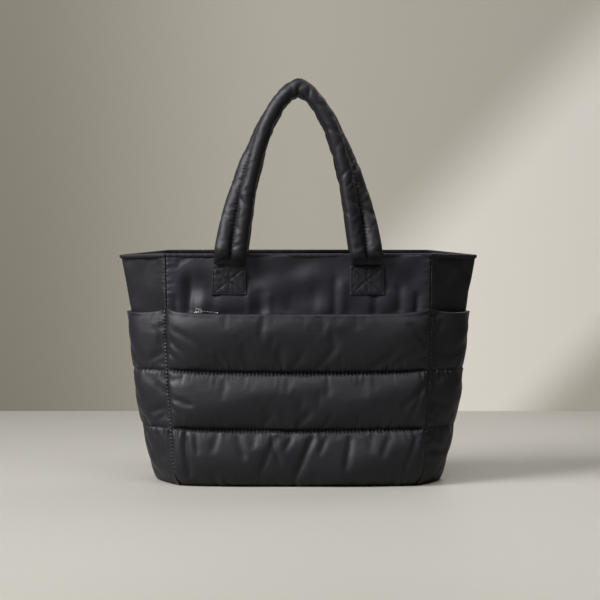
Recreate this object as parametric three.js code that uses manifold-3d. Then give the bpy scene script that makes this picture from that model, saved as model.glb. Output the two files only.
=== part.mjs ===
// A puffer tote bag: a padded body of sewn panels, a quilted front pocket closed by a zip, a quilted
// pocket round each end, and two padded handles on stitched square tabs.
// Millimetres. X runs across the front, +Y from the front to the back, +Z up.
// The origin is the middle of the base's underside, which is flat and stands on a table.
import * as THREE from "three";
import { mergeVertices } from "three/addons/utils/BufferGeometryUtils.js";
import Module from "manifold-3d";

// Body
const BODY_HEIGHT = 288; // floor to the bound rim, at the front
const RIM_HALF_WIDTH = 225; // middle to the fold of a gusset, at the rim
const RIM_SEAM_HALF_SPAN = 166; // middle to a front seam, at the rim
const BASE_HALF_DEPTH = 64; // middle to the front panel, at the base
const WALL = 5; // lightly padded cloth wall
const BASE_THICKNESS = 4;
const PANEL_BOW = 5; // how far the front and back panels bow out between their seams
const CORNER_SAG = 4; // how far the rim drops at the two folds
const BACK_RISE = 2; // how far the back rim stands above the front rim
const FOLD_ROUNDING = 0.12; // roundness of the gusset's fold, as a share of half its width
const GUSSET_DENT = 3; // how far each half of a gusset caves in
const DENT_DEPTH = 5; // deepest dent of the front panel

// Quilted pockets
const POCKET_HEIGHT = 214; // floor to the middle of a pocket's lip
const QUILT_BANDS = 3;
const FLOOR_GAP = 0.5; // the pockets end this far above the floor
const SEAM_THICKNESS = 3; // wadding pressed flat by a quilting seam
const FRONT_PUFF = 12; // what the wadding adds at the middle of a front band
const SIDE_PUFF = 8;
const BACK_PUFF = 8;
const PUFF_FULLNESS = 0.6; // exponent of a band's bulge: lower is rounder
const LIP_FULLNESS = 0.4; // share of a band's puff that is left at the lip
const PUFF_REACH = 10; // exponent: higher keeps the puff full nearer to the side seams
const QUILT_SAG = 3; // how far a front quilting seam hangs down in the middle
const LIP_RISE = 6; // how far a lip climbs to the seams that hold it
const FRONT_MOUTH_GAP = 14; // room for the zip between the front lip and the panel
const FRONT_SLACK = 1; // room inside the front pocket at its foot
const SIDE_SLACK = 13; // room inside a side pocket, each side of the fold
const SIDE_SLACK_START = 0.6; // share of the pocket's height where that room is full
const FOLD_SLACK = 1; // room inside a side pocket at the fold itself
const FOLD_DEPTH = 3; // how deep the largest pressed fold of the front pocket is

// Rim binding
const BINDING_HEIGHT = 5;
const BINDING_PROUD = 0.7; // how far it stands out from the wall on each side

// Handles
const HANDLE_HALF_SPAN = 86; // middle to the middle of a tab
const HANDLE_RISE = 225; // top of the tabs to the middle of the strap at the top of the arch
const HANDLE_FULLNESS = 1.2; // exponent of the arch: lower is more pointed
const HANDLE_WIDTH = 41; // both padded channels of the strap
const HANDLE_THICKNESS = 20;
const HANDLE_WAIST = 5; // strap thickness at its middle seam
const HANDLE_END_THICKNESS = 4; // where the strap is pressed flat above its tab
const HANDLE_END_LENGTH = 16; // how far the padding takes to fill out
const HANDLE_TURN_START = 0.09; // share of the rise where the strap starts its quarter turn
const HANDLE_TURN_HASTE = 1.7; // higher does more of the turn low down
const HANDLE_TOP_GAP = 1; // between the two handles at the top
const TAB_WIDTH = 44;
const TAB_HEIGHT = 37;
const TAB_THICKNESS = 3;
const TAB_DROP = 15; // rim to the top of a tab

// Zip
const ZIP_DROP = 5; // front lip to the zip tape
const ZIP_END_SHARE = 0.9; // how far the zip runs towards the seams
const TAPE_THICKNESS = 1.2;
const COIL_WIDTH = 5;
const COIL_HEIGHT = 2;
const SLIDER_SHARE = -0.745; // where the slider stands, from the middle to the seam
const SLIDER_LENGTH = 11;
const SLIDER_WIDTH = 8.6;
const SLIDER_ROOF = 1.6; // metal above the coil
const BAIL_LENGTH = 8;
const BAIL_WIDTH = 2.4;
const BAIL_BAR = 1.3;
const BAIL_ROOM = 3.2; // height of the bail's window
const PULL_LENGTH = 26; // pivot to tip
const PULL_WIDTH = 6;
const PULL_THICKNESS = 1.6;
const PULL_BAR = 1.5; // the pull's own bar, which turns inside the bail
const PULL_DROOP = 4; // degrees that the pull hangs below level when it rests on the zip

// Fits
const JOIN_GAP = 0.3; // between sewn pieces
const MITRE_GAP = 0.4; // each panel stops this far short of a corner seam
const RUNNING_GAP = 0.35; // round the moving pull

// Section of the body at some heights: shares of BODY_HEIGHT, RIM_HALF_WIDTH, RIM_SEAM_HALF_SPAN
// and BASE_HALF_DEPTH.
const BODY_SECTIONS = [
  { height: 0.0, fold: 0.782, seam: 0.874, depth: 0.985 },
  { height: 0.03, fold: 0.795, seam: 0.903, depth: 0.985 },
  { height: 0.08, fold: 0.812, seam: 0.924, depth: 0.98 },
  { height: 0.247, fold: 0.86, seam: 0.943, depth: 0.93 },
  { height: 0.493, fold: 0.904, seam: 0.976, depth: 0.82 },
  { height: 0.694, fold: 0.931, seam: 0.988, depth: 0.734 },
  { height: 0.757, fold: 0.946, seam: 0.991, depth: 0.708 },
  { height: 0.806, fold: 0.955, seam: 0.993, depth: 0.688 },
  { height: 1.0, fold: 1.0, seam: 1.0, depth: 0.61 },
];

// Dents of the smooth front panel above the pocket: where, as shares of the seam's half span and of
// BODY_HEIGHT, how wide and tall, as shares of the same, and how deep, as a share of DENT_DEPTH.
const PANEL_DENTS = [
  { across: -0.84, height: 0.78, wide: 0.06, tall: 0.07, depth: 1.0 },
  { across: -0.2, height: 0.77, wide: 0.05, tall: 0.06, depth: -0.35 },
  { across: -0.12, height: 0.77, wide: 0.04, tall: 0.07, depth: 0.5 },
  { across: 0.24, height: 0.78, wide: 0.05, tall: 0.08, depth: 0.6 },
  { across: 0.74, height: 0.77, wide: 0.05, tall: 0.05, depth: 0.6 },
  { across: 0.9, height: 0.77, wide: 0.04, tall: 0.03, depth: 0.7 },
];

// Folds pressed into the front pocket: the band, counted from the floor, the place across as a share
// of the seam's half span, the half width as the same share, the lean as a share of the band's
// height, and the depth as a share of FOLD_DEPTH.
const POCKET_FOLDS = [
  { band: 0, across: -0.62, wide: 0.045, lean: -0.5, depth: 1.0 },
  { band: 0, across: -0.2, wide: 0.04, lean: 0.4, depth: 1.0 },
  { band: 0, across: 0.02, wide: 0.04, lean: 0.5, depth: 0.9 },
  { band: 0, across: 0.26, wide: 0.04, lean: 0.3, depth: 0.8 },
  { band: 0, across: 0.72, wide: 0.05, lean: -0.6, depth: 0.7 },
  { band: 1, across: -0.8, wide: 0.06, lean: 0.3, depth: 0.8 },
  { band: 1, across: 0.2, wide: 0.05, lean: 0.5, depth: 0.4 },
  { band: 2, across: -0.84, wide: 0.06, lean: -0.5, depth: 0.8 },
  { band: 2, across: 0.1, wide: 0.05, lean: 0.6, depth: 0.6 },
  { band: 2, across: 0.5, wide: 0.05, lean: 0.7, depth: 0.6 },
];

const NYLON = { color: 0x24242a, roughness: 0.45, metalness: 0 };
const NYLON_UNDER = { color: 0x1d1d21, roughness: 0.6, metalness: 0 };
const ZINC = { color: 0xb9bbc0, roughness: 0.25, metalness: 1 };

// Maths that several pieces share

const mix = (from, to, share) => from + (to - from) * share;
const clamp01 = (value) => Math.min(1, Math.max(0, value));
const smooth = (share) => clamp01(share) ** 2 * (3 - 2 * clamp01(share));
const steps = (count, from = 0, to = 1) =>
  Array.from({ length: count + 1 }, (_, i) => mix(from, to, i / count));
// Steps from -1 to 1 that crowd towards both ends, where a puffed panel curves most.
const crowdedSteps = (count) => steps(count, -1, 1).map((s) => Math.sin((s * Math.PI) / 2));

// A smooth curve from one value to another, with its slopes at both ends.
const curve = (from, slopeFrom, to, slopeTo, s) =>
  mix(from, to, smooth(s)) + (slopeFrom * (1 - s) - slopeTo * s) * s * (1 - s);

// A column of the section table at any height, on a smooth curve through the rows.
function sectionValue(column, height) {
  const rows = BODY_SECTIONS;
  const share = clamp01(height / BODY_HEIGHT);
  const upper = Math.max(1, rows.findIndex((row) => row.height >= share));
  const [a, b] = [rows[upper - 1], rows[upper]];
  const gap = b.height - a.height;
  const slope = (i) => {
    const before = rows[Math.max(0, i - 1)];
    const after = rows[Math.min(rows.length - 1, i + 1)];
    return (gap * (after[column] - before[column])) / (after.height - before.height);
  };
  const s = (share - a.height) / gap;
  return curve(a[column], slope(upper - 1), b[column], slope(upper), s);
}

// The body in plan is a hexagon: a front and a back panel, and two gussets, each folded outwards in
// the middle. Its sizes and the gusset's angle at one height:
function hexagon(height) {
  const fold = RIM_HALF_WIDTH * sectionValue("fold", height);
  const seam = RIM_SEAM_HALF_SPAN * sectionValue("seam", height);
  const depth = BASE_HALF_DEPTH * sectionValue("depth", height);
  return { fold, seam, depth, angle: Math.atan2(depth, fold - seam) };
}

// Height of the rim at a plan position: it sags towards the folds and stands higher at the back.
function rimHeight(across, back) {
  return BODY_HEIGHT - CORNER_SAG * across + (BACK_RISE * (back + 1)) / 2;
}

const bow = (u) => PANEL_BOW * (1 - u * u);

// A point of the front (side -1) or back (side 1) panel. u runs from seam to seam, -1 to 1, and
// "out" is how far the point lies outside the body's outer face.
function panelPoint(side, u, out, height, trim = MITRE_GAP) {
  const { seam, depth, angle } = hexagon(height);
  const halfSpan = seam + out * Math.tan(angle / 2) - trim;
  return new THREE.Vector3(u * halfSpan, side * (depth + out + bow(u)), height);
}

// Share of the way from the seams to the fold, rounded over the fold. v is 0 at the fold.
function foldShare(v) {
  const e = FOLD_ROUNDING;
  return 1 - (Math.sqrt(v * v + e * e) - e) / (Math.sqrt(1 + e * e) - e);
}

// A point of the left (side -1) or right (side 1) gusset. v runs from the front seam, -1, over the
// fold, 0, to the back seam, 1.
function gussetPoint(side, v, out, height, trim = MITRE_GAP) {
  const { fold, seam, depth, angle } = hexagon(height);
  const seamX = seam + out * Math.tan(angle / 2);
  const foldX = fold + out / Math.sin(angle);
  const kept = 1 - trim / Math.hypot(foldX - seamX, depth + out);
  const x = mix(seamX, foldX, foldShare(v * kept));
  return new THREE.Vector3(side * x, v * kept * (depth + out), height);
}

const dentShape = (distance, width) => Math.exp(-((distance / width) ** 2));

// How far the front panel is pushed in by its dents.
function panelDent(u, height) {
  return PANEL_DENTS.reduce((sum, dent) => {
    const across = dentShape(u - dent.across, dent.wide);
    const up = dentShape(height / BODY_HEIGHT - dent.height, dent.tall);
    return sum + DENT_DEPTH * dent.depth * across * up;
  }, 0);
}

const gussetDent = (v, height) =>
  GUSSET_DENT * Math.sin(Math.PI * Math.abs(v)) * smooth(height / BODY_HEIGHT);

// Solids from grids of points

function solidFromTriangles(points, triangles) {
  const geometry = new THREE.BufferGeometry().setFromPoints(points);
  geometry.setIndex(triangles);
  return geometry;
}

const signedVolume = (geometry) => {
  const p = geometry.attributes.position;
  const index = geometry.index.array;
  const [a, b, c] = [new THREE.Vector3(), new THREE.Vector3(), new THREE.Vector3()];
  let sum = 0;
  for (let i = 0; i < index.length; i += 3) {
    a.fromBufferAttribute(p, index[i]);
    b.fromBufferAttribute(p, index[i + 1]);
    c.fromBufferAttribute(p, index[i + 2]);
    sum += a.dot(b.cross(c)) / 6;
  }
  return sum;
};

// Turns every face round if the solid came out inside out, as one mirrored across the bag does.
function facingOut(geometry) {
  if (signedVolume(geometry) < 0) {
    geometry.setIndex([...geometry.index.array].reverse());
  }
  geometry.computeVertexNormals();
  return geometry;
}

// A closed wall between two grids of points of the same size, face[column][row].
function wallSolid(outerFace, innerFace) {
  const columns = outerFace.length;
  const rows = outerFace[0].length;
  const points = [...outerFace.flat(), ...innerFace.flat()];
  const at = (layer, i, j) => layer * columns * rows + i * rows + j;
  const triangles = [];
  const quad = (a, b, c, d) => triangles.push(a, b, c, a, c, d);
  for (let i = 0; i + 1 < columns; i++) {
    for (let j = 0; j + 1 < rows; j++) {
      quad(at(0, i, j), at(0, i + 1, j), at(0, i + 1, j + 1), at(0, i, j + 1));
      quad(at(1, i, j), at(1, i, j + 1), at(1, i + 1, j + 1), at(1, i + 1, j));
    }
  }
  for (let i = 0; i + 1 < columns; i++) {
    quad(at(0, i, 0), at(1, i, 0), at(1, i + 1, 0), at(0, i + 1, 0));
    quad(at(0, i, rows - 1), at(0, i + 1, rows - 1), at(1, i + 1, rows - 1), at(1, i, rows - 1));
  }
  for (let j = 0; j + 1 < rows; j++) {
    quad(at(0, 0, j), at(0, 0, j + 1), at(1, 0, j + 1), at(1, 0, j));
    quad(
      at(0, columns - 1, j),
      at(1, columns - 1, j),
      at(1, columns - 1, j + 1),
      at(0, columns - 1, j + 1),
    );
  }
  return facingOut(solidFromTriangles(points, triangles));
}

// A tube through rings of points. It closes on itself, or its ends are closed round their centres.
function ringSolid(rings, closesOnItself) {
  const sides = rings[0].length;
  const points = rings.flat();
  const triangles = [];
  const spans = closesOnItself ? rings.length : rings.length - 1;
  for (let i = 0; i < spans; i++) {
    const next = ((i + 1) % rings.length) * sides;
    for (let j = 0; j < sides; j++) {
      const k = (j + 1) % sides;
      triangles.push(i * sides + j, next + j, next + k, i * sides + j, next + k, i * sides + k);
    }
  }
  if (!closesOnItself) {
    const last = (rings.length - 1) * sides;
    [0, last].forEach((first, end) => {
      const ring = rings[end ? rings.length - 1 : 0];
      const centre = ring.reduce((sum, p) => sum.add(p), new THREE.Vector3()).divideScalar(sides);
      points.push(centre);
      for (let j = 0; j < sides; j++) {
        const pair = [first + j, first + ((j + 1) % sides)];
        triangles.push(points.length - 1, ...(end ? pair.reverse() : pair));
      }
    });
  }
  return facingOut(solidFromTriangles(points, triangles));
}

// The panels of the body

const FRONT = -1;
const BACK = 1;
const wallBottom = BASE_THICKNESS + JOIN_GAP;
const wallTop = (across, back) => rimHeight(across, back) - BINDING_HEIGHT - JOIN_GAP;

// Heights of a panel's rows: closer together round the pockets' lips, where the dents are, and at
// the foot, where the seams curve in.
const PANEL_ROWS = [0, 0.017, 0.076, 0.25, 0.5, 0.68, 0.74, 0.79, 0.84, 0.9, 1];

function frontPanel() {
  const face = (out, dented) =>
    crowdedSteps(24).map((u) =>
      PANEL_ROWS.map((row) => {
        const height = mix(wallBottom, wallTop(0, FRONT), row);
        return panelPoint(FRONT, u, out - dented * panelDent(u, height), height);
      }),
    );
  return wallSolid(face(0, 1), face(-WALL, 1));
}

// Share of full puff at a place in a quilted field. "raw" counts bands from the floor.
function puffShare(raw, openTop) {
  const band = Math.min(QUILT_BANDS - 1, Math.max(0, Math.floor(raw)));
  const s = clamp01(raw - band);
  const puff = (4 * s * (1 - s)) ** PUFF_FULLNESS;
  const lip = openTop && band === QUILT_BANDS - 1 && s > 0.5;
  return lip ? Math.max(puff, LIP_FULLNESS) : puff;
}

const BAND_ROWS = [0, 0.12, 0.35, 0.65, 0.88];
const QUILT_ROWS = [
  ...Array.from({ length: QUILT_BANDS }, (_, band) => BAND_ROWS.map((row) => band + row)).flat(),
  QUILT_BANDS,
];

// How the puff of a wide panel dies away at its side seams.
const seamFade = (u) => (1 - Math.abs(u) ** PUFF_REACH) ** 0.5;

// Height of a quilt row. The seams sag in the middle of a panel, and the lip climbs to its ends.
function quiltHeight(raw, u, sag, rise, foot = FLOOR_GAP) {
  const share = raw / QUILT_BANDS;
  const hanging = sag * (1 - u * u) * Math.sin(Math.PI * share);
  return mix(foot, POCKET_HEIGHT, share) - hanging + rise * Math.abs(u) ** 6 * share ** 4;
}

const backPuff = (u, raw) => BACK_PUFF * puffShare(raw, false) * seamFade(u);
const backQuiltRow = (height) =>
  (QUILT_BANDS * (height - wallBottom)) / (POCKET_HEIGHT - wallBottom);

// The back is quilted up to the height of the pockets, and smooth above.
function backPanel() {
  const topRows = [0.3, 0.65, 1];
  const face = (out, puffed) =>
    crowdedSteps(16).map((u) => {
      const quilted = QUILT_ROWS.map((raw) => {
        const height = quiltHeight(raw, u, 0, 0, wallBottom);
        return panelPoint(BACK, u, out + puffed * backPuff(u, raw), height);
      });
      const plain = topRows.map((row) =>
        panelPoint(BACK, u, out, mix(POCKET_HEIGHT, wallTop(0, BACK), row)),
      );
      return [...quilted, ...plain];
    });
  return wallSolid(face(0, 1), face(-WALL, 0));
}

function gusset(side) {
  const face = (out) =>
    steps(14, -1, 1).map((v) =>
      PANEL_ROWS.map((row) => {
        const height = mix(wallBottom, wallTop(foldShare(v), v), row);
        return gussetPoint(side, v, out - gussetDent(v, height), height);
      }),
    );
  return wallSolid(face(0), face(-WALL));
}

// Stations round the whole outline, each a function of how far out and how high, for what follows
// the rim or the base.
function outlineStations(panelCount, gussetCount) {
  const along = (count) => steps(count, -1, 1).slice(0, -1);
  const front = along(panelCount).map((u) => ({
    across: 0,
    back: -1,
    point: (out, z) => panelPoint(FRONT, u, out, z, 0),
  }));
  const right = along(gussetCount).map((v) => ({
    across: foldShare(v),
    back: v,
    point: (out, z) => gussetPoint(1, v, out, z, 0),
  }));
  const back = along(panelCount).map((u) => ({
    across: 0,
    back: 1,
    point: (out, z) => panelPoint(BACK, -u, out, z, 0),
  }));
  const left = along(gussetCount).map((v) => ({
    across: foldShare(v),
    back: -v,
    point: (out, z) => gussetPoint(-1, -v, out, z, 0),
  }));
  return [...front, ...right, ...back, ...left];
}

function basePanel() {
  const outline = outlineStations(8, 8).map((s) => s.point(0, 0));
  const shape = new THREE.Shape(outline.map((p) => new THREE.Vector2(p.x, p.y)));
  return new THREE.ExtrudeGeometry(shape, { depth: BASE_THICKNESS, bevelEnabled: false });
}

// A folded tape over the top edge of the walls, all the way round the mouth.
function rimBinding() {
  const out = BINDING_PROUD;
  const section = [
    { out, down: BINDING_HEIGHT },
    { out, down: BINDING_HEIGHT * 0.3 },
    { out: -WALL * 0.3, down: 0 },
    { out: -WALL * 0.7, down: 0 },
    { out: -WALL - out, down: BINDING_HEIGHT * 0.3 },
    { out: -WALL - out, down: BINDING_HEIGHT },
  ];
  const rings = outlineStations(10, 8).map((s) =>
    section.map((p) => s.point(p.out, rimHeight(s.across, s.back) - p.down)),
  );
  return ringSolid(rings, true);
}

// The pockets

// Room between the front panel and the pocket, widest at the mouth, where the zip lies.
function frontRoom(u, share) {
  const widening = mix(FRONT_SLACK, FRONT_MOUTH_GAP, clamp01(share) ** 3);
  return JOIN_GAP + widening * (1 - Math.abs(u) ** 6);
}

// How far a fold of the front pocket presses in, at a place in the quilt.
function pocketFold(u, raw) {
  return POCKET_FOLDS.reduce((sum, fold) => {
    const s = raw - fold.band;
    if (s <= 0 || s >= 1) return sum;
    const bandShare = POCKET_HEIGHT / QUILT_BANDS / RIM_SEAM_HALF_SPAN;
    const centre = fold.across + fold.lean * (s - 0.5) * bandShare;
    const fade = Math.sin(Math.PI * s);
    return sum + FOLD_DEPTH * fold.depth * dentShape(u - centre, fold.wide) * fade;
  }, 0);
}

function frontPocket() {
  const face = (thick) =>
    crowdedSteps(30).map((u) =>
      QUILT_ROWS.map((raw) => {
        const height = quiltHeight(raw, u, QUILT_SAG, LIP_RISE);
        const puff = FRONT_PUFF * puffShare(raw, true) * seamFade(u);
        const padding = SEAM_THICKNESS + Math.max(0, puff - pocketFold(u, raw));
        const inside = frontRoom(u, raw / QUILT_BANDS);
        return panelPoint(FRONT, u, inside + thick * padding, height);
      }),
    );
  return wallSolid(face(1), face(0));
}

// Room between a gusset and its pocket: a lobe each side of the fold, narrow at the foot.
function sideRoom(v, share) {
  const lobe = Math.sin(Math.PI * v) ** 2 * smooth(share / SIDE_SLACK_START);
  return JOIN_GAP + FOLD_SLACK * (1 - Math.abs(v)) + SIDE_SLACK * lobe;
}

// Padding round a side pocket: pressed at the seams and pinched over the fold.
function sidePuff(v) {
  const lobes = Math.sin(Math.PI * Math.abs(v)) ** 0.7;
  return mix(1 - Math.abs(v), lobes, 0.7);
}

function sidePocket(side) {
  const face = (thick) =>
    steps(14, -1, 1).map((v) =>
      QUILT_ROWS.map((raw) => {
        const share = raw / QUILT_BANDS;
        const height = quiltHeight(raw, v, 0, LIP_RISE);
        const padding = SEAM_THICKNESS + SIDE_PUFF * puffShare(raw, true) * sidePuff(v);
        const inside = sideRoom(v, share) - gussetDent(v, height);
        return gussetPoint(side, v, Math.max(JOIN_GAP, inside) + thick * padding, height);
      }),
    );
  return wallSolid(face(1), face(0));
}

// Handles and tabs

const tabTop = BODY_HEIGHT - TAB_DROP;

// Where the outer face of the front or back panel lies, as a distance from the middle.
function panelFace(side, x, height) {
  const { seam, depth } = hexagon(height);
  const u = x / seam;
  const relief = side === FRONT ? -panelDent(u, height) : backPuff(u, backQuiltRow(height));
  return depth + bow(u) + relief;
}

// Half of the strap's section, thickness against width, as shares. Two padded channels meet at a
// seam in the middle.
const STRAP_SECTION = [
  { across: 1, thick: 0 },
  { across: 0.78, thick: 0.84 },
  { across: 0.4, thick: 0.96 },
];

function strapSection(thickness) {
  const waist = Math.min(HANDLE_WAIST, thickness * 0.8) / 2;
  const half = HANDLE_WIDTH / 2;
  const quarter = STRAP_SECTION.map((p) => [p.across * half, (p.thick * thickness) / 2]);
  const mirrored = [...quarter].reverse().map(([a, t]) => [-a, t]);
  const top = [...quarter, [0, waist], ...mirrored];
  const bottom = top.slice(1, -1).reverse().map(([a, t]) => [a, -t]);
  return [...top, ...bottom];
}

// Which way the strap runs at a ring, seen from the front. It leaves both tabs straight up.
function strapDirection(rings, i) {
  if (i === 0) return new THREE.Vector3(0, 0, 1);
  if (i === rings.length - 1) return new THREE.Vector3(0, 0, -1);
  const run = rings[i + 1].centre.clone().sub(rings[i - 1].centre);
  return run.setY(0).normalize();
}

// One handle. It leaves its tabs flat against the panel and leans in over the mouth. On the way up
// it turns a quarter turn, its outer channel going behind the inner one, so that the strap lies flat
// over a shoulder at the top of the arch.
function handle(side) {
  const count = 44;
  const channelSpacing = HANDLE_WIDTH - HANDLE_THICKNESS;
  const topChannel = HANDLE_TOP_GAP / 2 + HANDLE_THICKNESS / 2 + channelSpacing;
  const rings = steps(count, 0, Math.PI).map((angle) => {
    const rise = HANDLE_RISE * Math.sin(angle) ** (2 / HANDLE_FULLNESS);
    const share = rise / HANDLE_RISE;
    const x = -HANDLE_HALF_SPAN * Math.cos(angle);
    const height = tabTop + JOIN_GAP + rise;
    const filled = smooth((rise + HANDLE_END_LENGTH / 8) / HANDLE_END_LENGTH);
    const thickness = mix(HANDLE_END_THICKNESS, HANDLE_THICKNESS, filled);
    const above = clamp01((share - HANDLE_TURN_START) / (1 - HANDLE_TURN_START));
    const turn = (Math.PI / 2) * (1 - (1 - above) ** HANDLE_TURN_HASTE);
    const panel = panelFace(side, x, Math.min(height, BODY_HEIGHT));
    const wallFace = panel + BINDING_PROUD + JOIN_GAP;
    const innerChannel = mix(wallFace + thickness / 2, topChannel, above);
    const depth = innerChannel - (channelSpacing / 2) * Math.sin(turn);
    const centre = new THREE.Vector3(x, side * depth, height);
    return { centre, thickness, turn };
  });
  const sections = rings.map((ring, i) => {
    const flat = strapDirection(rings, i);
    const outward = new THREE.Vector3(-flat.z, 0, flat.x);
    const inDepth = new THREE.Vector3(0, -side, 0);
    const wide = outward
      .clone()
      .multiplyScalar(Math.cos(ring.turn))
      .addScaledVector(inDepth, Math.sin(ring.turn));
    const thick = new THREE.Vector3().crossVectors(flat, wide);
    return strapSection(ring.thickness).map(([a, t]) =>
      ring.centre.clone().addScaledVector(wide, a).addScaledVector(thick, t),
    );
  });
  return ringSolid(sections, false);
}

// A square of cloth sewn flat on the front or back panel, under the end of a strap.
function handleTab(side, across) {
  const face = (out) =>
    steps(4, -1, 1).map((s) => {
      const x = across * HANDLE_HALF_SPAN + (s * TAB_WIDTH) / 2;
      return steps(4).map((row) => {
        const height = tabTop - TAB_HEIGHT * row;
        const depth = panelFace(side, x, height) + JOIN_GAP + out;
        return new THREE.Vector3(x, side * depth, height);
      });
    });
  return wallSolid(face(TAB_THICKNESS), face(0));
}

// Zip

// Place of the zip at a share of the way to the seam: both edges of its gap, its middle and height.
function zipPlace(u) {
  const height = quiltHeight(QUILT_BANDS, u, QUILT_SAG, LIP_RISE) - ZIP_DROP;
  const share = height / POCKET_HEIGHT;
  const atPanel = panelPoint(FRONT, u, JOIN_GAP, height);
  const atPocket = panelPoint(FRONT, u, frontRoom(u, share) - JOIN_GAP, height);
  const middle = atPanel.clone().lerp(atPocket, 0.5);
  return { atPanel, atPocket, middle, height };
}

// The tape with the closed coil along its middle.
function zipTape() {
  const across = (u, level) => {
    const { atPanel, atPocket, middle } = zipPlace(u);
    const half = Math.min(COIL_WIDTH / 2, (middle.y - atPocket.y) * 0.8);
    const points = [
      { y: atPanel.y, up: 0 },
      { y: middle.y + half, up: 0 },
      { y: middle.y + half * 0.8, up: COIL_HEIGHT },
      { y: middle.y - half * 0.8, up: COIL_HEIGHT },
      { y: middle.y - half, up: 0 },
      { y: atPocket.y, up: 0 },
    ];
    return points.map(
      (p) => new THREE.Vector3(middle.x, p.y, middle.z + level * (TAPE_THICKNESS + p.up)),
    );
  };
  const columns = steps(24, -ZIP_END_SHARE, ZIP_END_SHARE);
  return wallSolid(
    columns.map((u) => across(u, 1)),
    columns.map((u) => across(u, 0)),
  );
}

const wasm = await Module();
wasm.setup();

function toSolid(geometry) {
  const bare = geometry.clone();
  bare.deleteAttribute("normal");
  bare.deleteAttribute("uv");
  const merged = mergeVertices(bare, 1e-4);
  return new wasm.Manifold(
    new wasm.Mesh({
      numProp: 3,
      vertProperties: new Float32Array(merged.attributes.position.array),
      triVerts: new Uint32Array(merged.index.array),
    }),
  );
}

function toGeometry(solid) {
  const mesh = solid.getMesh();
  const geometry = new THREE.BufferGeometry();
  geometry.setAttribute("position", new THREE.BufferAttribute(mesh.vertProperties, 3));
  geometry.setIndex(new THREE.BufferAttribute(mesh.triVerts, 1));
  geometry.computeVertexNormals();
  return geometry;
}

const box = (x, y, z, cx, cy, cz) => new THREE.BoxGeometry(x, y, z).translate(cx, cy, cz);

// A flat shape in X and Y with round ends, raised to a thickness.
function roundedPlate(shape, thickness, bottom) {
  return new THREE.ExtrudeGeometry(shape, {
    depth: thickness,
    bevelEnabled: false,
    curveSegments: 6,
  }).translate(0, 0, bottom);
}

const sliderHeight = COIL_HEIGHT + JOIN_GAP + SLIDER_ROOF;

// The slider, with its foot at the origin: a tapered block over the coil, with a bail on top.
function sliderGeometry() {
  const half = SLIDER_WIDTH / 2;
  const nose = SLIDER_LENGTH / 2;
  const shape = new THREE.Shape();
  shape.moveTo(-nose, -half * 0.72);
  shape.lineTo(-nose * 0.2, -half);
  shape.lineTo(nose * 0.75, -half);
  shape.lineTo(nose, -half * 0.7);
  shape.lineTo(nose, half * 0.7);
  shape.lineTo(nose * 0.75, half);
  shape.lineTo(-nose * 0.2, half);
  shape.lineTo(-nose, half * 0.72);
  shape.closePath();
  const block = toSolid(roundedPlate(shape, sliderHeight, 0));
  const channelWidth = COIL_WIDTH + 2 * RUNNING_GAP;
  const channelHeight = COIL_HEIGHT + JOIN_GAP;
  const channel = toSolid(
    box(SLIDER_LENGTH * 2, channelWidth, channelHeight * 2, 0, 0, 0),
  );
  const sink = SLIDER_ROOF / 4; // the bail's feet start inside the roof
  const bailHeight = BAIL_ROOM + BAIL_BAR + sink;
  const bailMiddle = sliderHeight - sink + bailHeight / 2;
  const bail = toSolid(box(BAIL_LENGTH, BAIL_WIDTH, bailHeight, 0, 0, bailMiddle));
  const windowLength = BAIL_LENGTH - 2 * BAIL_BAR;
  const window = toSolid(
    box(windowLength, BAIL_WIDTH * 2, BAIL_ROOM, 0, 0, sliderHeight + BAIL_ROOM / 2),
  );
  return toGeometry(block.subtract(channel).add(bail.subtract(window)));
}

// The pull, with its pivot at the origin, pointing along +X: a bar that turns inside the bail, a
// window round the bail, and a slim tongue with a hole near its tip.
function pullGeometry() {
  const windowHalf = BAIL_WIDTH / 2 + RUNNING_GAP;
  const farCorner = Math.hypot(BAIL_LENGTH / 2, BAIL_ROOM / 2 + BAIL_BAR);
  const windowEnd = farCorner + 2 * RUNNING_GAP;
  const neck = windowEnd + PULL_BAR;
  const tongueHalf = PULL_WIDTH / 2.6;
  const half = PULL_WIDTH / 2;
  const shape = new THREE.Shape();
  shape.moveTo(-PULL_BAR / 2, -half);
  shape.lineTo(neck, -half);
  shape.lineTo(neck + half / 2, -tongueHalf);
  shape.lineTo(PULL_LENGTH - half, -tongueHalf);
  shape.absarc(PULL_LENGTH - half, 0, half, -Math.PI * 0.35, Math.PI * 0.35, false);
  shape.lineTo(PULL_LENGTH - half, tongueHalf);
  shape.lineTo(neck + half / 2, tongueHalf);
  shape.lineTo(neck, half);
  shape.lineTo(-PULL_BAR / 2, half);
  shape.closePath();
  const window = new THREE.Path();
  window.moveTo(PULL_BAR / 2, -windowHalf);
  window.lineTo(PULL_BAR / 2, windowHalf);
  window.lineTo(windowEnd, windowHalf);
  window.lineTo(windowEnd, -windowHalf);
  window.closePath();
  const eye = new THREE.Path();
  eye.absarc(PULL_LENGTH - half, 0, half * 0.4, 0, Math.PI * 2, true);
  shape.holes.push(window, eye);
  return roundedPlate(shape, PULL_THICKNESS, -PULL_THICKNESS / 2);
}

// The bag

const bag = new THREE.Group();

function add(name, geometry, finish, parent = bag) {
  const mesh = new THREE.Mesh(geometry, new THREE.MeshStandardMaterial(finish));
  mesh.name = name;
  parent.add(mesh);
  return mesh;
}

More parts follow.
